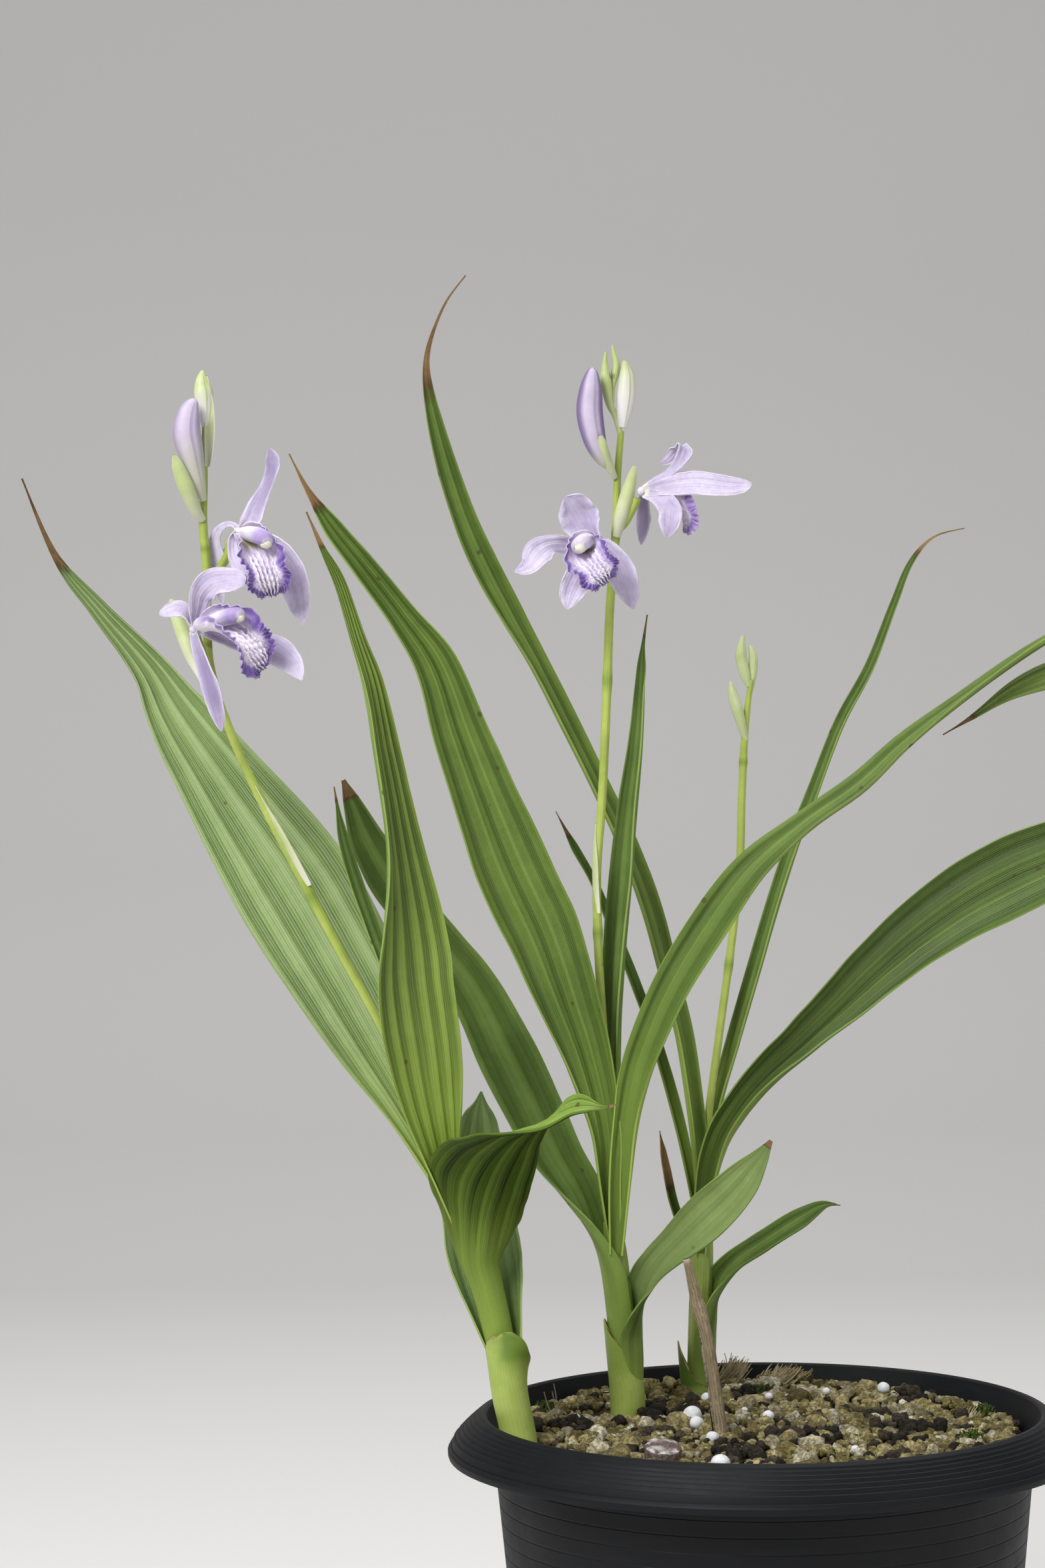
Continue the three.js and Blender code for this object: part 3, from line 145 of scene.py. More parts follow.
def addBall(bm, centre, radius, squeeze=(1, 1, 1), rough=0.0, skin=0, mark=None):
    ball = bmesh.ops.create_icosphere(bm, subdivisions=3, radius=1)["verts"]
    layers = {name: bm.verts.layers.float[name] for name in marks}
    for v in ball:
        bump = 1 + rough * noise.noise(v.co * 2.3 + Vector(centre))
        v.co = (Vector(centre) + Vector(c * q for c, q in zip(v.co, squeeze)) * radius * bump) * mm
        for name, value in (mark or {}).items():
            v[layers[name]] = value
    for f in {f for v in ball for f in v.link_faces}:
        f.material_index = skin


def addObject(bm, name):
    mesh = bpy.data.meshes.new(name)
    bm.normal_update()
    bm.to_mesh(mesh)
    bm.free()
    mesh.polygons.foreach_set("use_smooth", [True] * len(mesh.polygons))
    made = bpy.data.objects.new(name, mesh)
    bpy.context.scene.collection.objects.link(made)
    return made


def finishPiece(bm, name, skins, slotName, *nodes, sharpAt=50):
    piece = addObject(bm, name)
    piece.data.set_sharp_from_angle(angle=math.radians(sharpAt))
    for skin in skins:
        piece.data.materials.append(finishes[skin])
    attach(piece, "root")
    if nodes:
        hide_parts(*nodes)


# ---- node helpers ----
def addNode(tree, kind, **values):
    node = tree.nodes.new(kind)
    for key, value in values.items():
        setattr(node, key, value)
    return node


def feed(tree, socket, value):
    if isinstance(value, bpy.types.NodeSocket):
        tree.links.new(value, socket)
    else:
        socket.default_value = value


def calc(tree, operation, *values, clamp=False):
    node = addNode(tree, "ShaderNodeMath", operation=operation, use_clamp=clamp)
    for socket, value in zip(node.inputs, values):
        feed(tree, socket, value)
    return node.outputs[0]


def times(tree, first, second, clamp=False):
    return calc(tree, "MULTIPLY", first, second, clamp=clamp)


def plus(tree, first, second, clamp=False):
    return calc(tree, "ADD", first, second, clamp=clamp)


def mixColour(tree, share, first, second):
    node = addNode(tree, "ShaderNodeMix", data_type="RGBA")
    feed(tree, node.inputs[0], share)
    for socket, colour in zip(node.inputs[6:8], (first, second)):
        feed(tree, socket, colour if isinstance(colour, bpy.types.NodeSocket) else (*colour, 1))
    return node.outputs[2]


def paintOver(tree, body, *layers):
    # a layer is its mask, how much of the mask shows, and its colour
    for mask, share, colour in layers:
        body = mixColour(tree, times(tree, mask, share), body, colour)
    return body


def spread(tree, value, low, high, newLow=0, newHigh=1):
    node = addNode(tree, "ShaderNodeMapRange", interpolation_type="SMOOTHSTEP")
    for socket, v in zip(node.inputs, (value, low, high, newLow, newHigh)):
        feed(tree, socket, v)
    return node.outputs[0]


def ripples(tree, place, scale, detail=3, roughness=0.55):
    node = addNode(tree, "ShaderNodeTexNoise")
    for label, value in zip(("Vector", "Scale", "Detail", "Roughness"), (place, scale, detail, roughness)):
        feed(tree, node.inputs[label], value)
    return node.outputs["Fac"]


def readMark(tree, name):
    return addNode(tree, "ShaderNodeAttribute", attribute_name=name).outputs["Fac"]


def objectPlace(tree):
    return addNode(tree, "ShaderNodeTexCoord").outputs["Object"]


def surfacePlace(tree):
    return addNode(tree, "ShaderNodeUVMap", uv_map="surface").outputs["UV"]


def axes(tree, place):
    node = addNode(tree, "ShaderNodeSeparateXYZ")
    tree.links.new(place, node.inputs[0])
    return node.outputs


def stretched(tree, place, scale):
    node = addNode(tree, "ShaderNodeMapping")
    tree.links.new(place, node.inputs["Vector"])
    node.inputs["Scale"].default_value = scale
    return node.outputs[0]


def newGroup(name, inputs, outputs):
    # an input without a value is a place; every other socket is a number
    tree = bpy.data.node_groups.new(name, "ShaderNodeTree")
    for label, value in inputs.items():
        kind = "NodeSocketVector" if value is None else "NodeSocketFloat"
        socket = tree.interface.new_socket(name=label, in_out="INPUT", socket_type=kind)
        if value is not None:
            socket.default_value = value
    for label in outputs:
        tree.interface.new_socket(name=label, in_out="OUTPUT", socket_type="NodeSocketFloat")
    return tree, tree.nodes.new("NodeGroupInput").outputs, tree.nodes.new("NodeGroupOutput").inputs


def useGroup(tree, group, **values):
    node = addNode(tree, "ShaderNodeGroup", node_tree=group)
    for key, value in values.items():
        feed(tree, node.inputs[key], value)
    return node.outputs


def makeVeins():
    # fine lines that run the length of a blade or stem, wavering a little
    inputs = {"Place": None, "Count": 12, "Thin": 4, "Waver": 0.04}
    tree, given, result = newGroup("lengthVeins", inputs, ["Mask"])
    across, along, _ = axes(tree, given["Place"])
    slow = addNode(tree, "ShaderNodeCombineXYZ")
    tree.links.new(times(tree, across, 1.5), slow.inputs[0])
    tree.links.new(times(tree, along, 6), slow.inputs[1])
    drift = calc(tree, "SUBTRACT", ripples(tree, slow.outputs[0], 3, 2), 0.5)
    shifted = plus(tree, across, times(tree, drift, given["Waver"]))
    wave = calc(tree, "COSINE", times(tree, times(tree, shifted, given["Count"]), 2 * math.pi))
    lifted = times(tree, plus(tree, wave, 1), 0.5, clamp=True)
    tree.links.new(calc(tree, "POWER", lifted, given["Thin"]), result["Mask"])
    return tree


def makeMottle():
    # cloudy two-scale variation between 0 and 1
    tree, given, result = newGroup("mottle", {"Place": None, "Scale": 60}, ["Value"])
    broad = ripples(tree, given["Place"], given["Scale"], 3)
    fine = ripples(tree, given["Place"], times(tree, given["Scale"], 5.3), 4, 0.65)
    both = plus(tree, times(tree, broad, 0.65), times(tree, fine, 0.35))
    tree.links.new(spread(tree, both, 0.32, 0.68), result["Value"])
    return tree


def makeSpecks():
    # scattered small spots; Amount is the share of the cells that hold one
    tree, given, result = newGroup("specks", {"Place": None, "Scale": 300, "Amount": 0.1}, ["Mask"])
    cells = addNode(tree, "ShaderNodeTexVoronoi", feature="F1")
    tree.links.new(given["Place"], cells.inputs["Vector"])
    tree.links.new(given["Scale"], cells.inputs["Scale"])
    chance = addNode(tree, "ShaderNodeSeparateColor")
    tree.links.new(cells.outputs["Color"], chance.inputs[0])
    chosen = calc(tree, "LESS_THAN", chance.outputs[0], given["Amount"])
    spot = spread(tree, cells.outputs["Distance"], 0.25, 0.45, 1, 0)
    tree.links.new(times(tree, chosen, spot), result["Mask"])
    return tree


def makeDryness():
    # turns the painted dryness into a ragged area with a darker border
    inputs = {"Place": None, "Surface": None, "Dry": 0}
    tree, given, result = newGroup("dryness", inputs, ["Mask", "Border"])
    ragged = calc(tree, "SUBTRACT", ripples(tree, given["Place"], 190, 4), 0.5)
    drawn = stretched(tree, given["Surface"], (26, 5, 1))
    streaks = calc(tree, "SUBTRACT", ripples(tree, drawn, 1, 2), 0.5)
    uneven = plus(tree, times(tree, ragged, 0.35), times(tree, streaks, 0.75))
    value = plus(tree, given["Dry"], uneven)
    tree.links.new(spread(tree, value, 0.45, 0.56), result["Mask"])
    outer, inner = spread(tree, value, 0.38, 0.48), spread(tree, value, 0.5, 0.66)
    tree.links.new(calc(tree, "SUBTRACT", outer, inner, clamp=True), result["Border"])
    return tree


veins, mottle, specks, dryness = makeVeins(), makeMottle(), makeSpecks(), makeDryness()


def cloudy(tree, place, scale):
    return useGroup(tree, mottle, Place=place, Scale=scale)["Value"]


def lined(tree, surface, count, thin, waver):
    return useGroup(tree, veins, Place=surface, Count=count, Thin=thin, Waver=waver)["Mask"]


def spotted(tree, place, look):
    return useGroup(tree, specks, Place=place, Scale=look["speckScale"], Amount=look["speckShare"])["Mask"]


def withered(tree, place, surface):
    return useGroup(tree, dryness, Place=place, Surface=surface, Dry=readMark(tree, "dry"))


def newFinish(name, roughness, fixed=None):
    finish = bpy.data.materials.new(name)
    finish.use_nodes = True
    shader = finish.node_tree.nodes["Principled BSDF"]
    for key, value in {"Roughness": roughness, "Specular IOR Level": 0.3, **(fixed or {})}.items():
        shader.inputs[key].default_value = value
    return finish, finish.node_tree


def endFinish(finish, body, height, depth, strength, rough=None):
    # depth is the real height of the relief in millimetres
    tree = finish.node_tree
    shader = tree.nodes["Principled BSDF"]
    tree.links.new(body, shader.inputs["Base Color"])
    if rough:
        tree.links.new(rough, shader.inputs["Roughness"])
    bump = addNode(tree, "ShaderNodeBump")
    tree.links.new(height, bump.inputs["Height"])
    bump.inputs["Distance"].default_value = depth * mm
    bump.inputs["Strength"].default_value = strength
    tree.links.new(bump.outputs[0], shader.inputs["Normal"])
    return finish


print("node groups ready")


# ---- finishes ----
finishes = {}


def addFinishes(maker, base, looks):
    for name, changes in looks.items():
        finishes[name] = maker(name, {**base, **changes})


def leafFinish(name, look):
    finish, tree = newFinish(name, look["roughness"], {
        "Coat Weight": look["coat"], "Coat Roughness": 0.35, "Specular IOR Level": look["shine"]})
    place, surface = objectPlace(tree), surfacePlace(tree)
    clouds, fine = cloudy(tree, place, look["clouds"]), lined(tree, surface, look["veins"], 3, 0.02)
    foot = spread(tree, axes(tree, surface)[1], 0.02, look["footReach"], 1, 0)
    dead = withered(tree, place, surface)
    body = paintOver(
        tree, mixColour(tree, clouds, look["dark"], look["light"]),
        # painted shade: the pleat valleys are darkened where shade falls between the folds
        (readMark(tree, "shade"), look["foldShadeShare"], look["foldShade"]),
        # paler pleat crests: partly the ribs' own colour, partly a painted highlight
        (readMark(tree, "crest"), look["ribAndHighlightShare"], look["ribAndHighlight"]),
        (fine, look["veinShare"], look["vein"]), (foot, look["footShare"], look["foot"]),
        (spotted(tree, place, look), 0.7, look["speck"]),
        (dead["Mask"], 1, mixColour(tree, clouds, look["dryDark"], look["dryLight"])),
        (dead["Border"], 0.85, look["speck"]))
    sheen = plus(tree, look["roughness"] - 0.08, times(tree, clouds, 0.12))
    rough = plus(tree, sheen, times(tree, dead["Mask"], 0.3), clamp=True)
    grain = times(tree, cloudy(tree, place, 900), 0.35)
    return endFinish(finish, body, plus(tree, fine, grain), look["relief"], 0.7, rough)


# the fold colour and its share paint shade into the pleat valleys
leafLook = {
    "dark": (0.055, 0.105, 0.014), "light": (0.125, 0.205, 0.038), "ribAndHighlight": (0.25, 0.36, 0.09), "ribAndHighlightShare": 0.5,
    "foldShade": (0.028, 0.056, 0.005), "foldShadeShare": 0.65, "vein": (0.24, 0.34, 0.085), "veinShare": 0.32,
    "veins": 44, "clouds": 30, "foot": (0.34, 0.46, 0.08), "footReach": 0.34, "footShare": 0.75,
    "speck": (0.07, 0.036, 0.012), "speckScale": 420, "speckShare": 0.006,
    "dryDark": (0.11, 0.055, 0.02), "dryLight": (0.4, 0.25, 0.11),
    "roughness": 0.5, "coat": 0.04, "relief": 0.1, "shine": 0.3,
}
addFinishes(leafFinish, leafLook, {
    "leafFreshUpper": {},
    # leafLeftBroad: a paler leaf green with whitish ribs and veins, partly its own colour and partly a
    # painted sheen
    "leafSilverSheenUpper": {
        "dark": (0.12, 0.2, 0.045), "light": (0.22, 0.32, 0.095), "ribAndHighlight": (0.46, 0.56, 0.29), "ribAndHighlightShare": 0.6,
        "foldShade": (0.05, 0.1, 0.014), "vein": (0.5, 0.58, 0.33), "veinShare": 0.45, "roughness": 0.42,
        "coat": 0.12},
    # leafLeftArched upper side: a lighter copy of the leaf green, painted light on the far wall of its
    # channel
    "leafLitAndShadedUpper": {"dark": (0.15, 0.25, 0.03), "light": (0.26, 0.39, 0.06), "coat": 0.1},
    "leafPaleUpper": {
        "dark": (0.12, 0.2, 0.055), "light": (0.2, 0.29, 0.095), "ribAndHighlight": (0.32, 0.41, 0.17), "ribAndHighlightShare": 0.3,
        "foldShadeShare": 0.2, "vein": (0.32, 0.4, 0.17)},
    "leafOldUpper": {
        "dark": (0.06, 0.115, 0.011), "light": (0.125, 0.2, 0.026), "speckShare": 0.015,
        "foot": (0.24, 0.36, 0.06), "footShare": 0.5},
    # leafLeftFront: its stripes are strong painted shade in the pleat valleys and painted highlights on the
    # crests
    "leafStripedShadeUpper": {
        "dark": (0.075, 0.13, 0.012), "light": (0.15, 0.23, 0.026), "ribAndHighlight": (0.31, 0.4, 0.085),
        "ribAndHighlightShare": 0.7, "foldShade": (0.016, 0.034, 0.003), "foldShadeShare": 0.85, "foot": (0.3, 0.42, 0.06)},
    "leafSoftUpper": {
        "dark": (0.14, 0.21, 0.05), "light": (0.21, 0.295, 0.085), "ribAndHighlight": (0.3, 0.39, 0.15), "ribAndHighlightShare": 0.2,
        "foldShadeShare": 0.12, "vein": (0.34, 0.42, 0.18), "veinShare": 0.4, "roughness": 0.55},
    # leafRightArched: a darker copy of the leaf green, painted shade
    "leafShadedUpper": {
        "dark": (0.034, 0.068, 0.008), "light": (0.075, 0.125, 0.02), "ribAndHighlight": (0.15, 0.23, 0.05),
        "ribAndHighlightShare": 0.4, "foot": (0.2, 0.3, 0.05), "footShare": 0.6},
})
addFinishes(leafFinish, {**leafLook, "roughness": 0.6, "coat": 0.0}, {
    "leafFreshUnder": {"dark": (0.12, 0.2, 0.03), "light": (0.2, 0.3, 0.06)},
    "leafSilverSheenUnder": {"dark": (0.15, 0.22, 0.05), "light": (0.24, 0.32, 0.09)},
    # leafLeftArched underside: a much darker copy, painted shade on the near wall of its channel
    "leafLitAndShadedUnder": {
        "dark": (0.026, 0.048, 0.004), "light": (0.055, 0.092, 0.009), "ribAndHighlight": (0.15, 0.235, 0.035),
        "ribAndHighlightShare": 0.6, "foldShade": (0.007, 0.013, 0.001), "foldShadeShare": 0.85, "vein": (0.12, 0.19, 0.025),
        "veinShare": 0.2, "foot": (0.25, 0.35, 0.065), "footShare": 0.95, "footReach": 0.5, "shine": 0.06},
    "leafPaleUnder": {"dark": (0.16, 0.23, 0.07), "light": (0.25, 0.32, 0.12)},
    "leafOldUnder": {"dark": (0.12, 0.18, 0.03), "light": (0.2, 0.28, 0.06), "speckShare": 0.02},
    "leafStripedShadeUnder": {"dark": (0.12, 0.19, 0.03), "light": (0.19, 0.28, 0.055)},
    "leafSoftUnder": {"dark": (0.11, 0.18, 0.03), "light": (0.18, 0.26, 0.055)},
    "leafShadedUnder": {"dark": (0.08, 0.13, 0.02), "light": (0.13, 0.19, 0.035)},
})


def stemFinish(name, look):
    finish, tree = newFinish(name, look["roughness"], {"Coat Weight": look["coat"], "Coat Roughness": 0.3})
    place, surface = objectPlace(tree), surfacePlace(tree)
    clouds, fine = cloudy(tree, place, look["clouds"]), lined(tree, surface, look["veins"], 4, 0.012)
    dead = withered(tree, place, surface)
    body = paintOver(
        tree, mixColour(tree, clouds, look["dark"], look["light"]),
        (fine, look["veinShare"], look["vein"]), (readMark(tree, "shade"), 1, look["shade"]),
        (readMark(tree, "crest"), 1, look["crest"]), (spotted(tree, place, look), 0.6, look["speck"]),
        (dead["Mask"], 1, look["husk"]), (dead["Border"], 1, look["speck"]))
    rough = plus(tree, look["roughness"] - 0.06, times(tree, clouds, 0.14))
    rough = plus(tree, rough, times(tree, dead["Mask"], 0.3))
    return endFinish(finish, body, fine, look["relief"], 0.6, rough)


addFinishes(stemFinish, {
    "dark": (0.27, 0.36, 0.065), "light": (0.42, 0.51, 0.13), "vein": (0.54, 0.62, 0.25), "veinShare": 0.3,
    "shade": (0.1, 0.19, 0.02), "crest": (0.2, 0.3, 0.03), "veins": 22, "clouds": 45,
    "speck": (0.09, 0.05, 0.015), "speckScale": 260, "speckShare": 0.01, "husk": (0.42, 0.3, 0.13),
    "roughness": 0.45, "coat": 0.08, "relief": 0.08,
}, {
    "stemSkin": {},
    "sheathSkin": {
        "dark": (0.25, 0.345, 0.055), "light": (0.38, 0.47, 0.105), "veinShare": 0.12, "speckShare": 0.015,
        "relief": 0.03},
    "sheathInside": {"dark": (0.33, 0.42, 0.1), "light": (0.48, 0.56, 0.18), "roughness": 0.6, "coat": 0.0},
    "scapeSkin": {
        "dark": (0.27, 0.35, 0.055), "light": (0.42, 0.5, 0.1), "veins": 9, "veinShare": 0.2,
        "roughness": 0.38, "coat": 0.2},
    "bractSkin": {
        "dark": (0.38, 0.45, 0.18), "light": (0.53, 0.58, 0.31), "vein": (0.6, 0.64, 0.42), "veins": 11,
        "veinShare": 0.08, "shade": (0.7, 0.69, 0.58), "husk": (0.6, 0.5, 0.3), "roughness": 0.52,
        "coat": 0.03, "relief": 0.03},
    "budSkin": {
        "dark": (0.4, 0.34, 0.47), "light": (0.55, 0.48, 0.61), "vein": (0.27, 0.2, 0.34), "veins": 3,
        "veinShare": 0.4, "shade": (0.5, 0.5, 0.38), "crest": (0.15, 0.1, 0.24), "speckShare": 0.0,
        "roughness": 0.5, "coat": 0.03},
    "budGreenSkin": {
        "dark": (0.38, 0.46, 0.18), "light": (0.56, 0.61, 0.35), "veins": 9, "shade": (0.7, 0.67, 0.66)},
})


def petalFinish(name, look):
    finish, tree = newFinish(name, look["roughness"], {
        "Sheen Weight": 0.15, "Subsurface Weight": look["glow"], "Subsurface Scale": 0.0015,
        "Subsurface Radius": (1.0, 0.8, 1.0)})
    place, surface = objectPlace(tree), surfacePlace(tree)
    clouds, fine = cloudy(tree, place, 140), lined(tree, surface, look["veins"], 3, 0.06)
    side = calc(tree, "ABSOLUTE", calc(tree, "SUBTRACT", times(tree, axes(tree, surface)[0], 2), 1))
    # the shade mark: deeper colour, and on the tepals partly painted shade
    depth = readMark(tree, "shade")
    body = paintOver(
        tree, mixColour(tree, clouds, look["dark"], look["light"]), (depth, 1, look["shade"]),
        (fine, times(tree, plus(tree, depth, 0.35), look["veinShare"]), look["vein"]),
        (calc(tree, "POWER", side, 9), look["marginShare"], look["margin"]),
        (readMark(tree, "crest"), 1, look["crest"]),
        (withered(tree, place, surface)["Mask"], 1, look["foot"]))
    rough = plus(tree, look["roughness"] - 0.05, times(tree, clouds, 0.12))
    grain = times(tree, cloudy(tree, place, 1600), 0.4)
    return endFinish(finish, body, plus(tree, fine, grain), look["relief"], 0.6, rough)


addFinishes(petalFinish, {
    "dark": (0.48, 0.42, 0.58), "light": (0.68, 0.62, 0.77), "shade": (0.19, 0.145, 0.28),
    "vein": (0.36, 0.28, 0.47), "veinShare": 0.28, "veins": 8, "margin": (0.8, 0.76, 0.84),
    "marginShare": 0.35, "crest": (0.84, 0.81, 0.8), "foot": (0.7, 0.68, 0.62), "roughness": 0.55,
    "glow": 0.12, "relief": 0.08,
}, {
    "petalInner": {},
    "petalOuter": {
        "dark": (0.48, 0.42, 0.57), "light": (0.66, 0.6, 0.73), "veinShare": 0.12,
        "shade": (0.4, 0.32, 0.48)},
    "lipInner": {
        "dark": (0.55, 0.46, 0.66), "light": (0.78, 0.72, 0.82), "shade": (0.18, 0.105, 0.37),
        "vein": (0.3, 0.19, 0.48), "veinShare": 0.25, "veins": 11, "marginShare": 0.0,
        "crest": (0.88, 0.85, 0.82), "foot": (0.4, 0.36, 0.2)},
    "lipOuter": {
        "dark": (0.6, 0.53, 0.68), "light": (0.76, 0.71, 0.8), "shade": (0.27, 0.175, 0.46),
        "veinShare": 0.12, "marginShare": 0.1},
    "columnSkin": {
        "dark": (0.7, 0.66, 0.73), "light": (0.8, 0.77, 0.81), "marginShare": 0.0, "veinShare": 0.08,
        "shade": (0.32, 0.21, 0.5)},
    # its shade colour is the painted shadow in the slit beside the anther
    "antherSkin": {
        "dark": (0.66, 0.62, 0.48), "light": (0.8, 0.77, 0.66), "marginShare": 0.0, "veinShare": 0.0,
        "shade": (0.1, 0.06, 0.09), "glow": 0.05},
})


def oldStalkFinish():
    finish, tree = newFinish("oldStalkSkin", 0.88)
    clouds, fine = cloudy(tree, objectPlace(tree), 120), lined(tree, surfacePlace(tree), 11, 2, 0.12)
    body = paintOver(
        tree, mixColour(tree, clouds, (0.15, 0.11, 0.06), (0.36, 0.28, 0.17)),
        (fine, 0.5, (0.5, 0.42, 0.28)), (readMark(tree, "shade"), 1, (0.66, 0.57, 0.42)))
    return endFinish(finish, body, plus(tree, fine, clouds), 0.25, 0.9)


def stoneFinish(name, look):
    finish, tree = newFinish(name, look["roughness"])
    place = objectPlace(tree)
    stains = spread(tree, ripples(tree, place, 75, 3), 0.54, 0.7, 0, 0.65)
    # the hollows of the relief are darkened: painted shade in the pits
    hollow = spread(tree, ripples(tree, place, look["pitScale"], 4, 0.7), 0.36, 0.56)
    body = paintOver(
        tree, mixColour(tree, cloudy(tree, place, look["scale"]), look["dark"], look["light"]),
        (readMark(tree, "crest"), 1, look["cream"]), (readMark(tree, "shade"), 1, look["shade"]),
        (stains, 1, look["stain"]), (calc(tree, "SUBTRACT", 1, hollow), look["pitShadeShare"], look["pitShade"]))
    grain = ripples(tree, place, look["scale"] * 9, 5, 0.7)
    return endFinish(finish, body, plus(tree, hollow, grain), look["relief"], 1.0)


addFinishes(stoneFinish, {
    "dark": (0.33, 0.265, 0.11), "light": (0.64, 0.55, 0.28), "cream": (0.84, 0.79, 0.6),
    "shade": (0.15, 0.115, 0.03), "stain": (0.11, 0.088, 0.034), "pitShade": (0.08, 0.062, 0.024),
    "pitShadeShare": 0.6, "scale": 190, "pitScale": 620, "relief": 0.6, "roughness": 0.93,
}, {
    "pumice": {},
    "bakedClay": {
        "dark": (0.19, 0.15, 0.045), "light": (0.4, 0.33, 0.115), "cream": (0.5, 0.43, 0.18),
        "shade": (0.08, 0.055, 0.016), "stain": (0.05, 0.037, 0.016), "pitScale": 800},
    "darkBark": {
        "dark": (0.012, 0.009, 0.006), "light": (0.05, 0.037, 0.022), "cream": (0.1, 0.075, 0.045),
        "shade": (0.02, 0.015, 0.01), "stain": (0.03, 0.024, 0.015), "pitShade": (0.006, 0.005, 0.003),
        "pitScale": 700},
    "soilBed": {
        "dark": (0.035, 0.024, 0.015), "light": (0.16, 0.11, 0.06), "shade": (0.1, 0.07, 0.04),
        "stain": (0.05, 0.035, 0.02), "pitShade": (0.012, 0.009, 0.006), "relief": 0.8},
    "greyStone": {
        "dark": (0.16, 0.11, 0.1), "light": (0.27, 0.19, 0.17), "shade": (0.75, 0.72, 0.68),
        "stain": (0.13, 0.085, 0.08), "pitShade": (0.08, 0.05, 0.045), "pitShadeShare": 0.25},
    "fertiliserPellet": {
        "dark": (0.62, 0.62, 0.64), "light": (0.8, 0.8, 0.82), "shade": (0.5, 0.5, 0.5),
        "stain": (0.6, 0.59, 0.58), "pitShade": (0.4, 0.4, 0.42), "pitShadeShare": 0.12, "relief": 0.08,
        "roughness": 0.55},
    "moss": {
        "dark": (0.06, 0.1, 0.014), "light": (0.22, 0.31, 0.055), "shade": (0.1, 0.1, 0.03),
        "stain": (0.09, 0.1, 0.03), "pitShade": (0.012, 0.02, 0.004), "pitScale": 1500, "relief": 0.9},
    "rootFibre": {
        "dark": (0.36, 0.29, 0.17), "light": (0.64, 0.55, 0.36), "shade": (0.2, 0.14, 0.08),
        "stain": (0.24, 0.18, 0.1), "pitShadeShare": 0.05, "relief": 0.15},
})


def potFinish():
    finish, tree = newFinish("potPlastic", 0.5, {"Specular IOR Level": 0.2})
    place = objectPlace(tree)
    clouds, streaks = cloudy(tree, place, 26), ripples(tree, stretched(tree, place, (1, 1, 9)), 42, 4)
    grime = spread(tree, ripples(tree, place, 120, 5, 0.65), 0.48, 0.7)
    low = spread(tree, axes(tree, place)[2], 0.0, 0.03, 0.5, 0)
    body = paintOver(
        tree, mixColour(tree, clouds, (0.003, 0.0034, 0.0046), (0.0055, 0.006, 0.0076)),
        (spread(tree, streaks, 0.5, 0.78, 0, 0.5), 1, (0.011, 0.0115, 0.013)),
        (grime, low, (0.045, 0.038, 0.03)))
    rough = plus(tree, plus(tree, 0.44, times(tree, clouds, 0.14)), times(tree, streaks, 0.1))
    return endFinish(finish, body, plus(tree, ripples(tree, place, 900, 3), streaks), 0.05, 0.6, rough)


finishes["oldStalkSkin"], finishes["potPlastic"] = oldStalkFinish(), potFinish()
print("finishes ready")


# ---- pot: one spun wall, a floor plate with drain holes ----
pot = {
    "baseRadius": 63.4, "wallSlope": 0.0966, "wall": 1.7, "lipFoot": 138, "floorTop": 3.5, "steps": 96,
    "grooveStep": 4.6, "grooveDepth": 0.1, "drainRing": 42, "drainRadius": 5, "drainHoles": 6,
    "rimIn": [(78.4, 148.4), (78.7, 149.4), (79.3, 149.9), (80.1, 149.9)], "ridges": 8,
    "lipOut": [(85, 145), (85.7, 142.4), (86.1, 139.4), (86.6, 138.4), (87.6, 138), (89.2, 138),
               (89.7, 138.2), (89.9, 138.8), (89.9, 139.9), (89.6, 140.4)],
    "lipIn": [(78.9, 145.5), (79.7, 146.2), (81.6, 146.4), (83.6, 146)],
    "rimFrom": (89.5, 140.5), "rimSpan": (8.9, 9.2), "rimBend": 0.72, "sharpAt": 24,
}


def outerWall(z):
    return pot["baseRadius"] + z * pot["wallSlope"]


def spinRing(bm, profile):
    chain = [bm.verts.new((r * mm, 0, z * mm)) for r, z in profile]
    edges = [bm.edges.new(pair) for pair in zip(chain, chain[1:])]
    bmesh.ops.spin(bm, geom=chain + edges, cent=(0, 0, 0), axis=(0, 0, 1), angle=2 * math.pi,
                   steps=pot["steps"], use_merge=True, use_duplicate=False)


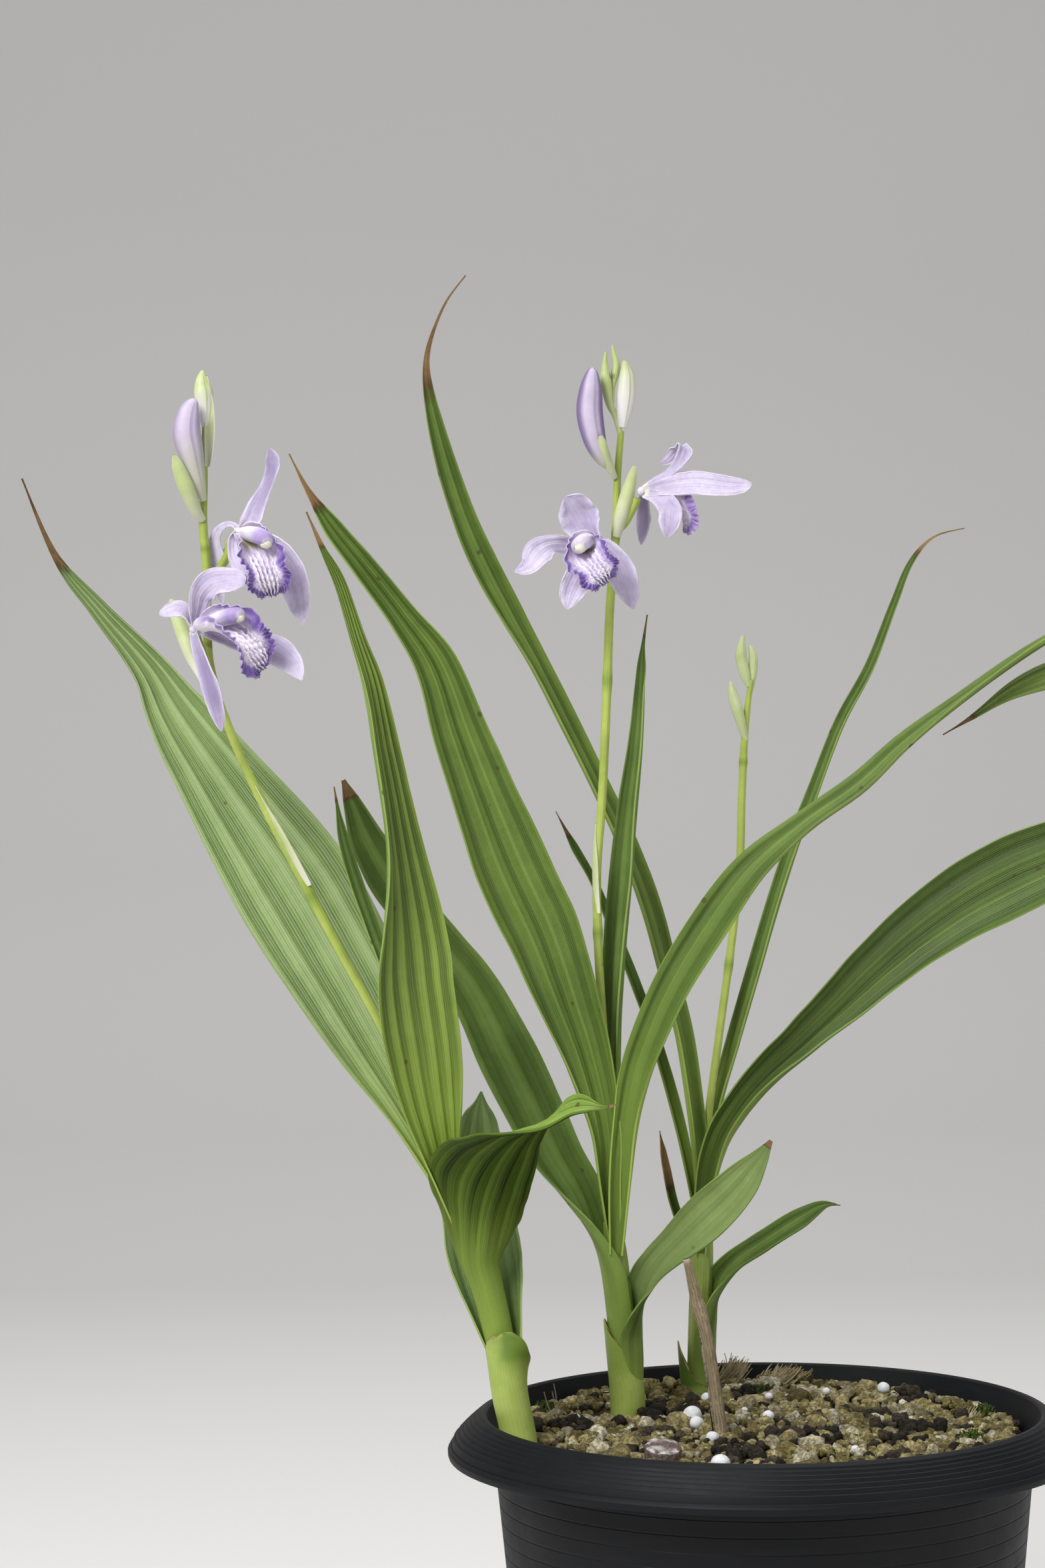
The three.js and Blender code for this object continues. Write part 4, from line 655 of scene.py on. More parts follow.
def potPiece():
    bm = newForm()
    low = [(pot["baseRadius"] - 2.2, 0), (pot["baseRadius"] - 1.2, 0.15), (pot["baseRadius"] - 0.3, 0.8),
           (outerWall(2.2), 2.2)]
    z, cut = 5.0, pot["grooveDepth"]
    while z < pot["lipFoot"] - 3:
        out = outerWall(z)
        low += [(out, z), (out - cut, z + 0.2),
                (outerWall(z + 0.5) - cut, z + 0.5), (outerWall(z + 0.7), z + 0.7)]
        z += pot["grooveStep"]
    low.append((outerWall(pot["lipFoot"] + 2), pot["lipFoot"] + 2))
    inside = [(outerWall(z) - pot["wall"], z) for z in (140, 70, 6)]
    inside.append((outerWall(pot["floorTop"]) - pot["wall"] - 2, pot["floorTop"]))
    ridges = []
    for k in range(pot["ridges"]):
        share = k / pot["ridges"]
        r = pot["rimFrom"][0] - pot["rimSpan"][0] * share
        z = pot["rimFrom"][1] + pot["rimSpan"][1] * share ** pot["rimBend"]
        ridges += [(r, z), (r - 0.15, z + 0.42), (r - 0.45, z + 0.6), (r - 0.75, z + 0.52)]
    spinRing(bm, low + pot["lipIn"] + pot["lipOut"] + ridges + pot["rimIn"][::-1] + inside)
    holes = []
    for radius, height in ((low[0][0], 0), (inside[-1][0], pot["floorTop"])):
        rings = [bmesh.ops.create_circle(bm, radius=radius * mm, segments=pot["steps"])["verts"]]
        for k in range(pot["drainHoles"]):
            angle = k * 2 * math.pi / pot["drainHoles"]
            ring = bmesh.ops.create_circle(bm, radius=pot["drainRadius"] * mm, segments=20)["verts"]
            away = Vector((math.cos(angle), math.sin(angle), 0)) * pot["drainRing"] * mm
            bmesh.ops.translate(bm, verts=ring, vec=away)
            rings.append(ring)
        flat = [v for ring in rings for v in ring]
        bmesh.ops.translate(bm, verts=flat, vec=(0, 0, height * mm))
        edges = list({e for v in flat for e in v.link_edges})
        bmesh.ops.triangle_fill(bm, edges=edges, use_beauty=True)
        holes.append([{e for v in ring for e in v.link_edges if e.other_vert(v) in ring}
                      for ring in rings[1:]])
    for lower, upper in zip(*holes):
        bmesh.ops.bridge_loops(bm, edges=list(lower | upper))
    bmesh.ops.remove_doubles(bm, verts=bm.verts, dist=2e-6)
    bmesh.ops.recalc_face_normals(bm, faces=bm.faces)
    finishPiece(bm, "potShell", ["potPlastic"], "pot", "pot", sharpAt=pot["sharpAt"])


potPiece()
print("pot ready")


# ---- soil: a rough bed, stones packed over it, pellets, moss and root fibres ----
soil = {
    "level": 142.6, "rise": 0.04, "reach": 75.2, "foot": (62.4, 6),
    "stones": [(44, 2.8, 4.1), (420, 1.7, 2.6), (1500, 0.8, 1.6)],  # how many, of what half sizes
    "tries": 30, "mossBlades": 40,
    "pellets": [(-53, 20.8, 1.5), (-19.5, 11.2, 2.7), (-18.4, 8, 2.1), (-14.8, -8.6, 1.9),
                (-14.6, -44.5, 2.7), (-13.8, 42.1, 1.6), (4.5, 37.6, 1.2), (2.4, 10.8, 1.7),
                (-3.3, 29.3, 1.1), (39.8, 50.9, 1.9), (13.3, -38.8, 1.1), (23.9, -26, 1.2),
                (-34, 52, 1.4), (22, 44, 1.2), (-48, -38, 1.5)],
    "peat": [(-27, 27, 10), (-8, -24, 11), (14, -6, 11), (42, 2, 10), (27, -42, 9), (50, 55, 8),
             (-38, -20, 7), (33, 24, 7), (-55, 10, 6), (60, -30, 7), (-2, 55, 7)],
    "moss": [(4, 52, 4), (58, -14, 4), (-62, 30, 4), (66, 22, 3.5)],
    "flatStone": (-29.6, -33, 5.3),
    # place, half size, how many fibres, how long, and how they lean
    "brushes": [(-7, 69, 4, 170, 9.5, (0.6, 0)), (8, 69.5, 7, 230, 7.5, (0.9, 0)),
                (33, -45, 7, 60, 3.6, (1.6, -0.3)), (54, -28, 6, 50, 3.6, (1.5, 0.5)),
                (62, 22, 5, 40, 5, (0.8, 0.2)), (-58.7, 13.8, 0.4, 3, 16, (0.05, 0))],
}
stoneKinds = {"pumice": "pumice", "clay": "bakedClay", "bark": "darkBark"}
# what the stones keep clear of: the shoots and the old stalk
standing = [(-68.5, -11, 8.5), (-41, 31, 7.5), (-18.2, 58, 7), (-12.6, 2, 3.2)]


def soilLevel(x, y):
    lumps = noise.noise(Vector((x / 17, y / 17, 3.1))) * 1.6
    return soil["level"] + soil["rise"] * y + lumps


def soilBed():
    bm = newForm()
    reach, foot = soil["reach"], soil["foot"]
    spinRing(bm, [(reach * k / 16, soil["level"]) for k in range(17)] + [foot, (0, foot[1])])
    bmesh.ops.remove_doubles(bm, verts=bm.verts, dist=1e-6)
    for v in bm.verts:
        x, y, z = v.co / mm
        if z > foot[1] + 1:
            v.co.z = (soilLevel(x, y) - 1.8 + noise.noise(Vector((x, y, 0)) / 3) * 1.2) * mm
    bmesh.ops.recalc_face_normals(bm, faces=bm.faces)
    finishPiece(bm, "soilBed", ["soilBed"], "gravel", "gravel")


def addStone(bm, x, y, z, size, tone, cream):
    stone = bmesh.ops.create_cube(bm, size=1)["verts"]
    edges = list({e for v in stone for e in v.link_edges})
    cuts = 3 if size > 2.7 else 2 if size > 1.6 else 1
    made = bmesh.ops.subdivide_edges(bm, edges=edges, cuts=cuts, use_grid_fill=True)["geom"]
    verts = {v for f in made if isinstance(f, bmesh.types.BMFace) for v in f.verts}
    stretch = Vector((1, random.uniform(0.66, 0.95), random.uniform(0.6, 0.9)))
    spin = Quaternion((random.uniform(-0.35, 0.35), random.uniform(-0.35, 0.35), random.uniform(-1, 1)),
                      random.uniform(0, math.pi))
    offset = Vector((x, y, z)) * 0.37
    shade, crest = bm.verts.layers.float["shade"], bm.verts.layers.float["crest"]
    squareness, crumble = random.uniform(0.1, 0.45), random.uniform(0.2, 0.5)
    for v in verts:
        form = (v.co.normalized() * 0.56).lerp(v.co, squareness)
        form *= 1 + crumble * (noise.noise(form * 2.6 + offset) + 0.4 * noise.noise(form * 8 + offset))
        form = Vector(a * b for a, b in zip(form, stretch)) * 2 * size
        form.rotate(spin)
        v.co = (Vector((x, y, z)) + form) * mm
        v[shade], v[crest] = tone, cream


def soilStones():
    forms = {kind: newForm() for kind in stoneKinds}
    spots, cells = [], {}
    sizes = [random.uniform(low, high) for count, low, high in soil["stones"] for _ in range(count)]
    for size in sizes:
        for _ in range(soil["tries"]):
            reach, angle = (soil["reach"] - size) * math.sqrt(random.random()), random.uniform(0, 2 * math.pi)
            x, y = reach * math.cos(angle), reach * math.sin(angle)
            i, j = int(x // 8), int(y // 8)
            near = [spot for a in (i - 1, i, i + 1) for b in (j - 1, j, j + 1)
                    for spot in cells.get((a, b), ())]
            clear = all(math.hypot(x - a, y - b) > c + size * 0.5 for a, b, c in standing)
            if clear and all(math.hypot(x - a, y - b) > 0.64 * (c + size) for a, b, c in near):
                spots.append((x, y, size))
                cells.setdefault((i, j), []).append((x, y, size))
                ragged = 0.8 + 1.5 * noise.noise(Vector((x / 7, y / 7, 5)))
                inPeat = any(math.hypot(x - a, y - b) < c * ragged for a, b, c in soil["peat"])
                inPeat = inPeat and random.random() < 0.85
                draw = random.random()
                kind = "bark" if inPeat or draw < 0.12 else "clay" if draw < 0.42 else "pumice"
                z = soilLevel(x, y) + random.uniform(-0.5, 0.6) * size * 0.5 + (0.8 if inPeat else 0)
                cream = random.uniform(0.4, 1) if random.random() < 0.38 else 0
                addStone(forms[kind], x, y, z, size, random.random() ** 2 * 0.8, cream)
                break
    for kind, bm in forms.items():
        bmesh.ops.recalc_face_normals(bm, faces=bm.faces)
        finishPiece(bm, kind + "Stones", [stoneKinds[kind]], "gravel", sharpAt=180)
    return spots


soilBed()
spots = soilStones()


def topOfStones(x, y):
    near = [soilLevel(a, b) + c * 0.55 for a, b, c in spots if math.hypot(x - a, y - b) < c]
    return max(near, default=soilLevel(x, y))


def soilPellets():
    bm = newForm()
    for x, y, size in soil["pellets"]:
        addBall(bm, (x, y, topOfStones(x, y) + size * 0.45), size, (1, 0.95, 0.9), rough=0.06)
    finishPiece(bm, "fertiliserPellets", ["fertiliserPellet"], "gravel")


def mossTufts():
    bm = newForm()
    for x, y, size in soil["moss"]:
        level = soilLevel(x, y)
        addBall(bm, (x, y, level + 1.2), size * 0.62, (1, 0.9, 0.6), rough=0.5)
        for _ in range(soil["mossBlades"]):
            angle, reach = random.uniform(0, 2 * math.pi), size * 0.7 * math.sqrt(random.random())
            a, b = x + reach * math.cos(angle), y + reach * math.sin(angle)
            z = level + 1 + (size - reach) * 0.35
            lean = Vector((random.uniform(-1, 1), random.uniform(-1, 1), 1.5)).normalized()
            tip = Vector((a, b, z)) + lean * random.uniform(1, 2.2)
            addRod(bm, [[a, b, z - 0.6, 0.3], [(a + tip.x) / 2, (b + tip.y) / 2, (z + tip.z) / 2, 0.32],
                        [tip.x, tip.y, tip.z, 0.25]], 4, 2)
    finishPiece(bm, "mossTufts", ["moss"], "gravel")


def flatStone():
    x, y, size = soil["flatStone"]
    bm = newForm()
    bmesh.ops.create_cone(bm, cap_ends=True, segments=22, radius1=size * 0.96, radius2=size, depth=5)
    bmesh.ops.bevel(bm, geom=bm.edges[:], offset=0.9, offset_type="OFFSET", segments=3, profile=0.5,
                    affect="EDGES", material=-1)
    bmesh.ops.triangulate(bm, faces=[f for f in bm.faces if len(f.verts) > 4])
    bmesh.ops.subdivide_edges(bm, edges=bm.edges[:], cuts=1)
    shade = bm.verts.layers.float["shade"]
    level = topOfStones(x, y) + 1.8
    tilt = Quaternion((1, 0.3, 0), math.radians(14))
    for v in bm.verts:
        v.co *= 1 + 0.12 * noise.noise(v.co * 0.28)
        chalk = noise.noise(v.co * 0.5) + (0.25 if v.co.y < -size * 0.4 else -0.1)
        v[shade] = smoothStep(chalk, 0, 0.3) if v.co.z > 2 else 0
        v.co = (Vector((x, y, level)) + tilt @ v.co) * mm
    bmesh.ops.recalc_face_normals(bm, faces=bm.faces)
    finishPiece(bm, "flatStone", ["greyStone"], "gravel")


def rootFibres():
    bm = newForm()
    for x, y, size, count, height, (leanX, leanY) in soil["brushes"]:
        for _ in range(count):
            a, b = x + random.gauss(0, 0.4) * size, y + random.gauss(0, 0.25) * size
            length = height * random.uniform(0.5, 1.1)
            lean = Vector((leanX + random.gauss(0, 0.22), leanY + random.gauss(0, 0.22), 1))
            lean = lean.normalized() * length
            sway = Vector((random.gauss(0, 0.05), random.gauss(0, 0.05), 0)) * length
            foot = Vector((a, b, soilLevel(a, b) - 0.8))
            rows = [[*(foot + lean * t + sway * math.sin(3 * t)), 0.19 - 0.08 * t]
                    for t in (0, 0.33, 0.66, 1)]
            addRod(bm, rows, 4, 4)
    finishPiece(bm, "rootFibres", ["rootFibre"], "gravel")


soilPellets()
mossTufts()
flatStone()
rootFibres()
print("soil ready")


# ---- shoots ----
shoots = {
    "Left": [
      [-66.4, -8, 118, 3.4], [-69.4, -8, 143.5, 3.5], [-74.4, -7, 169.8, 3.5],
      [-78.4, -7, 187.7, 3.4], [-82.2, -7, 202, 3.1], [-85.5, -7, 213, 2.2],
    ],
    "Centre": [
      [-37.1, 31, 118, 3.4], [-37.4, 31, 142.2, 3.5], [-38.5, 31, 165.1, 3.5],
      [-40.2, 31, 186.7, 3.4], [-41.5, 30, 200, 2.6],
    ],
    "Right": [
      [-15.2, 58, 118, 3.3], [-15.4, 58, 145.4, 3.3], [-14.7, 58, 166.5, 3.4],
      [-13.7, 58, 186.7, 3.2], [-13.1, 58, 200, 2.4],
    ],
}


def ribbed(count, depth):
    return lambda turn, u: depth * math.cos(turn * count)


for name, rows in shoots.items():
    bm = newForm()
    addRod(bm, rows, 48, 40, swell=ribbed(9, 0.035),
           paint=lambda turn, u: {"shade": 0.45 * smoothStep(u, 0.55, 0.95)})
    finishPiece(bm, "shoot" + name, ["stemSkin"], "stem", "pseudostem" + name)

sheaths = {
    "sheathLeft": [
      [-66.4, -12.7, 118, 14.1, 180, 172], [-69.4, -12.7, 143, 14.1, 180, 172],
      [-72, -12.8, 156, 12.6, 178, 150], [-73, -13, 163, 9.8, 172, 105], [-73.2, -13.6, 168, 7.6, 166, 62],
      [-73.1, -14.4, 171.6, 6, 162, 36], [-73.4, -15, 173.8, 3.6, 160, 20],
      [-73.8, -15.2, 174.8, 0.6, 160, 0],
    ],
    "sheathCentre": [
      [-41.9, 31, 118, 14.4, 90, 172], [-42.3, 31, 142, 14.6, 90, 172], [-42.5, 31, 150, 14.4, 90, 170],
      [-42.9, 31, 156, 12.2, 90, 146], [-43.4, 30.8, 162, 8.2, 89, 100], [-43.8, 30.5, 167, 4.6, 86, 56],
      [-44.2, 30.2, 171.5, 0.8, 84, 12],
    ],
    "sheathRight": [
      [-19.8, 57.8, 118, 13.4, 90, 165], [-20, 57.6, 142, 12, 90, 150],
      [-20.6, 57.2, 150, 6.4, 90, 76], [-21.4, 56.8, 160.5, 0.6, 90, 10],
    ],
}
# how dark one side is above the foot, and how dry the tip is
sheathMarks = {"sheathLeft": (0.75, 0.02), "sheathCentre": (0.1, 0.06), "sheathRight": (0.8, 0.35)}
for name, rows in sheaths.items():
    shade, dry = sheathMarks[name]
    bm = newForm()
    addBlade(bm, rows, 40, 34, 0.7,
             ripple=lambda s, u: 0.25 * smoothStep(u, 0.7, 1) * math.cos(s * 7 + 1),
             paint=lambda s, u: {"shade": shade * smoothStep(u, 0.42, 0.6) * smoothStep(0.4 - s, 0, 0.5),
                                 "dry": 0.6 * smoothStep(abs(s), 0.96, 1) + dry * smoothStep(u, 0.92, 1) * 4},
             skins=(1, 0))
    finishPiece(bm, name + "Skin", ["sheathSkin", "sheathInside"], "stem", name)
print("shoots ready")


# ---- leaves ----
leafRows = {
    "leafLeftArched": (8, [
      [-71.4, -11.9, 156, 8, 180, 128], [-73.4, -11.5, 166, 8.6, 180, 130],
      [-75.5, -11.2, 176.1, 9, 180, 130], [-78.2, -11.4, 187.4, 9.6, 180, 124],
      [-79.9, -12, 194.5, 10.4, 180, 98],
      [-79.6, -13.5, 202.8, 12.4, 181, 56], [-78.6, -16, 208.7, 14, 182, 34],
      [-77, -20, 214.6, 15.2, 184, 26], [-74.8, -25.5, 220.6, 14.6, 190, 20],
      [-72.1, -32, 226, 13, 202, 16], [-68.8, -38.5, 230.9, 11, 224, 14],
      [-64, -45, 235.3, 9.4, 252, 14], [-58.6, -51, 238.7, 7.8, 276, 14], [-53.7, -55, 241.2, 5.8, 288, 20],
      [-49.6, -58, 242, 3.2, 296, 20], [-45.7, -60, 242.1, 1.3, 320, 20], [-42.2, -61, 242.9, 0.6, 350, 0],
    ]),
    "leafLeftFront": (10, [
      [-84.6, -8, 202.1, 3, 0, 110], [-89.3, -14, 220.8, 6, 5, 75], [-92.9, -20, 241, 9.5, 5, 40],
      [-95, -24, 256.3, 11, 6, 28], [-97.3, -26, 273.1, 11.5, 18, 28],
      [-98.6, -26, 287.9, 11.5, 36, 35], [-100.6, -26, 306.5, 9.5, 52, 40],
      [-103.2, -25, 325, 7.5, 56, 40], [-105.7, -24, 339.9, 6.5, 58, 40],
      [-108.3, -23, 356.6, 4.5, 50, 40], [-111.9, -22, 369.7, 2.6, 35, 30],
      [-116.7, -20, 385.7, 1.7, 20, 20], [-121.4, -20, 395.6, 1.3, 10, 0], [-125.9, -18, 405.9, 0.4, 0, 0],
    ]),
    "leafLeftBroad": (8, [
      [-83.7, -7, 202, 3, 0, 100], [-89.6, -4, 216.4, 6, 12, 80], [-97.1, -1, 234.6, 10.5, 14, 55],
      [-108.4, 4, 256.2, 15, 16, 35], [-119.5, 9, 276.3, 17.5, 16, 25],
      [-134.7, 14, 302.4, 18, 14, 18], [-152.1, 18, 328.3, 13.6, 12, 16],
      [-166.3, 20, 349.6, 9.4, 10, 18], [-174.7, 20, 364.1, 5.6, 8, 24],
      [-188.5, 19, 380.7, 2.9, 5, 30], [-200.9, 17, 396.6, 1.6, 0, 30], [-209.9, 13, 419, 0.4, 0, 0],
    ]),
    "leafLeftBack": (6, [
      [-70.3, -5.2, 146, 6.4, 0, 120], [-72.2, -4.2, 162, 7.8, 0, 116], [-74.4, -2.2, 174.6, 9.8, 0, 88],
      [-76.8, 1, 185.6, 11.4, 0, 62],
      [-79, 4, 196.7, 11.6, 0, 38], [-80.4, 7, 209.7, 10.4, 0, 24], [-80.4, 9, 222.9, 8.4, 0, 20],
      [-80, 10, 231.4, 5.6, 0, 20], [-79.6, 10.5, 236, 3, 0, 10], [-79.3, 11, 240.5, 0.4, 0, 0],
    ]),
    "leafLeftThin": (4, [
      [-85.2, -5, 203.7, 2.4, 0, 60], [-91.8, -5, 232.1, 3.2, 10, 60], [-99.1, -3, 258.5, 3, 20, 40],
      [-105.7, -1, 277.4, 2.6, 30, 30], [-110.2, 1, 289.8, 2.2, 25, 20], [-114.6, 2, 303.1, 2, 10, 20],
      [-117.9, 2, 315.5, 1.4, 0, 0], [-120.2, 2, 328.9, 0.4, 0, 0],
    ]),
    "leafCentreBroad": (6, [
      [-41, 28, 191.1, 3, 10, 110], [-42.7, 26, 210.9, 5, 12, 95], [-44.1, 25, 228.5, 6.2, 14, 75],
      [-48.8, 24, 248.2, 8, 16, 45], [-54.6, 23, 265.8, 10, 16, 32], [-61.4, 22, 285.4, 11.5, 14, 24],
      [-70.1, 21, 305, 11.6, 12, 20], [-77.4, 20, 324.5, 10, 12, 18], [-84.3, 19, 343.9, 8.4, 10, 16],
      [-90.8, 17, 363.3, 6.4, 8, 16], [-100.5, 15, 377.9, 4.4, 6, 18], [-111.4, 14, 392.4, 3.6, 4, 20],
      [-120.1, 13, 403.6, 2.8, 2, 20], [-127.2, 11, 414.5, 1.3, 0, 0], [-132.4, 10, 424.9, 0.4, 0, 0],
    ]),
    "leafCentreLow": (4, [
      [-41.2, 31, 146, 8.4, 90, 128], [-42, 31, 158, 9.2, 90, 127], [-42.9, 31, 169.5, 9.6, 90, 125],
      [-44.7, 30.6, 185.5, 9.6, 85, 118], [-47.3, 31, 196.5, 8.6, 65, 85],
      [-51.8, 32.5, 207.5, 8.6, 42, 55], [-58.6, 34.5, 219.4, 9, 26, 38],
      [-64.3, 36, 232, 9.3, 16, 26], [-71.8, 37, 248.2, 9.3, 10, 20],
      [-80.9, 37, 267.2, 8, 8, 18], [-89, 36, 278.8, 7.2, 6, 18], [-97.1, 35, 289.2, 6.8, 4, 18],
      [-105.8, 34, 301.2, 6.6, 0, 20], [-112, 33, 312.7, 5.6, 0, 20], [-116, 32, 322.9, 3.8, 0, 10],
      [-119, 31, 330.8, 0.9, 0, 0],
    ]),
    "leafCentreShort": (6, [
      [-33.6, 31, 124, 8, -90, 122], [-33.5, 31, 141, 8, -90, 120], [-33, 30.5, 157.6, 8.8, -90, 118],
      [-33.2, 30, 167.3, 9.4, -88, 112], [-33.1, 28.5, 174.6, 8, -78, 84],
      [-31.4, 25.5, 182.2, 7, -62, 58], [-28.2, 22, 188.3, 6.3, -48, 38],
      [-22.6, 18, 194.6, 6.4, -38, 26], [-14.7, 13.5, 202.8, 7.2, -28, 18],
      [-7, 10, 210.8, 6.2, -22, 16], [-0.5, 8, 219.1, 4, -20, 14], [3.9, 7, 225.7, 0.9, -20, 0],
    ]),
    "leafCentreArched": (4, [
      [-40.2, 26, 191.3, 3.5, -10, 110], [-38.5, 24, 211, 4.8, -20, 90],
      [-36.4, 22, 228.7, 5.2, -28, 70], [-34, 20, 242.5, 5.6, -30, 45], [-30.2, 18, 254.2, 6, -28, 34],
      [-23, 16, 270.1, 6.2, -22, 26], [-12.4, 14, 287.1, 6.5, -22, 24], [-0.2, 12, 303.4, 6, -35, 24],
      [14.8, 10, 316.3, 5, -52, 24], [30.8, 9, 327.4, 4.8, -52, 22], [43.3, 8, 338.8, 4.4, -62, 22],
      [57.5, 6, 349.7, 4.2, -78, 26], [72.7, 4, 360.5, 4.2, -86, 30], [86, 3, 368.7, 4.2, -92, 34],
      [95.9, 3, 372.4, 4.2, -96, 34], [101.8, 4, 369.7, 4.2, -100, 30],
      [99.8, 6, 363.5, 4.3, -120, 24], [88.6, 8, 359.9, 4.5, -150, 20],
      [75.2, 9, 354.3, 3.6, -165, 18], [63.6, 9, 346.8, 1.8, -170, 10], [54.9, 9, 341.7, 0.4, -170, 0],
    ]),
    "leafCentreUpright": (4, [
      [-40.4, 33, 192, 2.6, -20, 100], [-40.7, 34, 217.9, 3.6, -35, 80],
      [-40.2, 34, 241.5, 4.4, -50, 60], [-39.6, 34, 261.2, 5, -55, 50],
      [-38.4, 34, 280.8, 5.4, -52, 45], [-36.5, 33, 302.4, 5.2, -50, 42],
      [-34.5, 32, 322, 4.4, -48, 40], [-32.3, 30, 341.5, 3, -45, 36], [-31.2, 29, 357.1, 2, -40, 30],
      [-30.6, 28, 367.9, 1, -20, 0], [-29.1, 28, 378.2, 0.4, 0, 0],
    ]),
    "leafRightTall": (4, [
      [-14, 58, 192.7, 3, 30, 100], [-15.1, 58, 214.9, 4.4, 45, 80], [-17.2, 57, 235.1, 4.8, 55, 60],
      [-19.8, 56, 253.3, 5, 55, 50], [-23.7, 55, 269.5, 5, 52, 44], [-28.5, 54, 289.6, 5, 50, 40],
      [-35.3, 52, 308.8, 5, 52, 36], [-44.1, 50, 328.3, 4.8, 54, 34], [-52.9, 48, 346.6, 4.8, 54, 34],
      [-61.5, 46, 364, 4.8, 50, 34], [-69.5, 44, 378.9, 5, 38, 30], [-76.8, 42, 393.7, 4.6, 20, 26],
      [-82.6, 40, 407.5, 3.9, 12, 24], [-87.3, 38, 422.2, 3.4, 8, 24], [-90.6, 36, 434.9, 2.6, 6, 24],
      [-92.7, 35, 445.7, 1.6, 4, 20], [-93.1, 34, 454.4, 0.9, 0, 0], [-91, 33, 462.7, 0.6, 0, 0],
      [-86.8, 32, 471.7, 0.5, 0, 0], [-81.2, 31, 478.8, 0.4, 0, 0],
    ]),
    "leafRightArched": (6, [
      [-13.8, 55, 187.1, 3.2, -20, 110], [-12.1, 53, 205.3, 4.6, -30, 90],
      [-8.4, 51, 220.5, 5.2, -40, 70], [-2, 49, 231.6, 5.6, -48, 55], [5.9, 47, 240.8, 6.4, -50, 50],
      [15.6, 44, 249.8, 7.2, -46, 48], [25.8, 42, 259.3, 8.4, -38, 44], [37, 40, 270, 9.8, -32, 40],
      [50.8, 38, 281.8, 11.2, -28, 36], [67.5, 36, 293.2, 12.4, -24, 30], [86.6, 34, 302.6, 12.6, -24, 28],
      [104, 31, 308.6, 10.4, -34, 30], [117.4, 28, 310.8, 6.6, -48, 30],
      [127.6, 26, 309.6, 2.6, -60, 20], [133.4, 25, 307.2, 0.4, -70, 0],
    ]),
    "leafRightThin": (4, [
      [-12.6, 61, 190.1, 2.4, -30, 90], [-11.1, 63, 214.4, 3, -40, 70],
      [-7.7, 64, 232.5, 3.2, -50, 60], [-2.4, 64, 250.7, 3.4, -52, 50], [2.7, 63, 267.9, 3.4, -52, 46],
      [8.9, 60, 289, 3.4, -54, 44], [15.4, 58, 309.1, 3.2, -54, 40], [21.5, 56, 325.1, 2.8, -54, 36],
      [29.6, 53, 346.1, 2.4, -50, 32], [38.4, 50, 362.9, 2, -46, 26], [45.6, 48, 381.7, 1.4, -40, 20],
      [50.4, 47, 393.5, 1, -40, 0], [57.1, 46, 401.1, 0.6, -40, 0], [66.4, 45, 403.7, 0.4, -40, 0],
    ]),
    "leafRightLow": (4, [
      [-11.2, 58, 124, 8.2, -90, 122], [-11, 58, 141, 8.4, -90, 120], [-10.3, 57.6, 156, 9, -90, 118],
      [-9.9, 57, 166, 8.8, -86, 110], [-9, 55.5, 176.1, 6.5, -70, 75], [-3.8, 52, 184.4, 4.4, -52, 40],
      [5.1, 49, 191.2, 3.8, -44, 24], [14.9, 46, 197.9, 3.5, -40, 18], [22.3, 44, 202.4, 1.8, -50, 10],
      [26.8, 43, 202.5, 0.4, -50, 0],
    ]),
    "leafRightOld": (2, [
      [-15.2, 60, 180, 2.2, 60, 100], [-19.3, 62, 191.2, 2.4, 50, 60], [-22.6, 63, 202.3, 2, 40, 40],
      [-24.3, 64, 212.3, 1.6, 40, 20], [-25.9, 64, 223.2, 0.4, 40, 0],
    ]),
    "leafRightNarrow": (2, [
      [-14.3, 59.5, 192, 2.4, 40, 90], [-19.9, 64, 222.6, 2.6, 40, 60],
      [-26.6, 65, 248.8, 2.4, 40, 40], [-33, 64, 268.1, 2, 30, 30], [-39.3, 63, 284.4, 1.8, 30, 20],
      [-45.2, 62, 299.2, 1.4, 30, 20], [-50.8, 61, 309.8, 1.2, 20, 0], [-56.3, 60, 320.6, 0.4, 0, 0],
    ]),
}
# skin, length that is dry at the tip, and how much the margins wave
leafLooks = {
    "leafLeftArched": ("LitAndShaded", 0.04, 0.03), "leafLeftFront": ("StripedShade", 0.07, 0.02),
    "leafLeftBroad": ("SilverSheen", 0.1, 0.02), "leafLeftBack": ("Pale", 0, 0.02),
    "leafLeftThin": ("Fresh", 0.05, 0.02), "leafCentreBroad": ("Old", 0.1, 0.03),
    "leafCentreLow": ("Fresh", 0.045, 0.03), "leafCentreShort": ("Soft", 0.03, 0.02),
    "leafCentreArched": ("Old", 0.05, 0.03), "leafCentreUpright": ("Fresh", 0.06, 0.02),
    "leafRightTall": ("Old", 0.2, 0.03), "leafRightArched": ("Shaded", 0.06, 0.04),
    "leafRightThin": ("Fresh", 0.12, 0.02), "leafRightLow": ("Fresh", 0.05, 0.02),
    "leafRightOld": ("Old", 0.4, 0.02), "leafRightNarrow": ("Fresh", 0.1, 0.02),
}
lopsided = {"leafLeftArched": 0.26}  # one half of the blade wider than the other
# how finely the tip is drawn out: 1 on the rest, a hair point
tapers = {"leafLeftBack": 0.5, "leafLeftArched": 0.9, "leafCentreShort": 0.4, "leafCentreLow": 0.35}
# height of the pleats: 0.62 on the rest
foldHeights = {"leafLeftArched": 0.34, "leafLeftBack": 0.4, "leafLeftFront": 0.4, "leafCentreShort": 0.2}


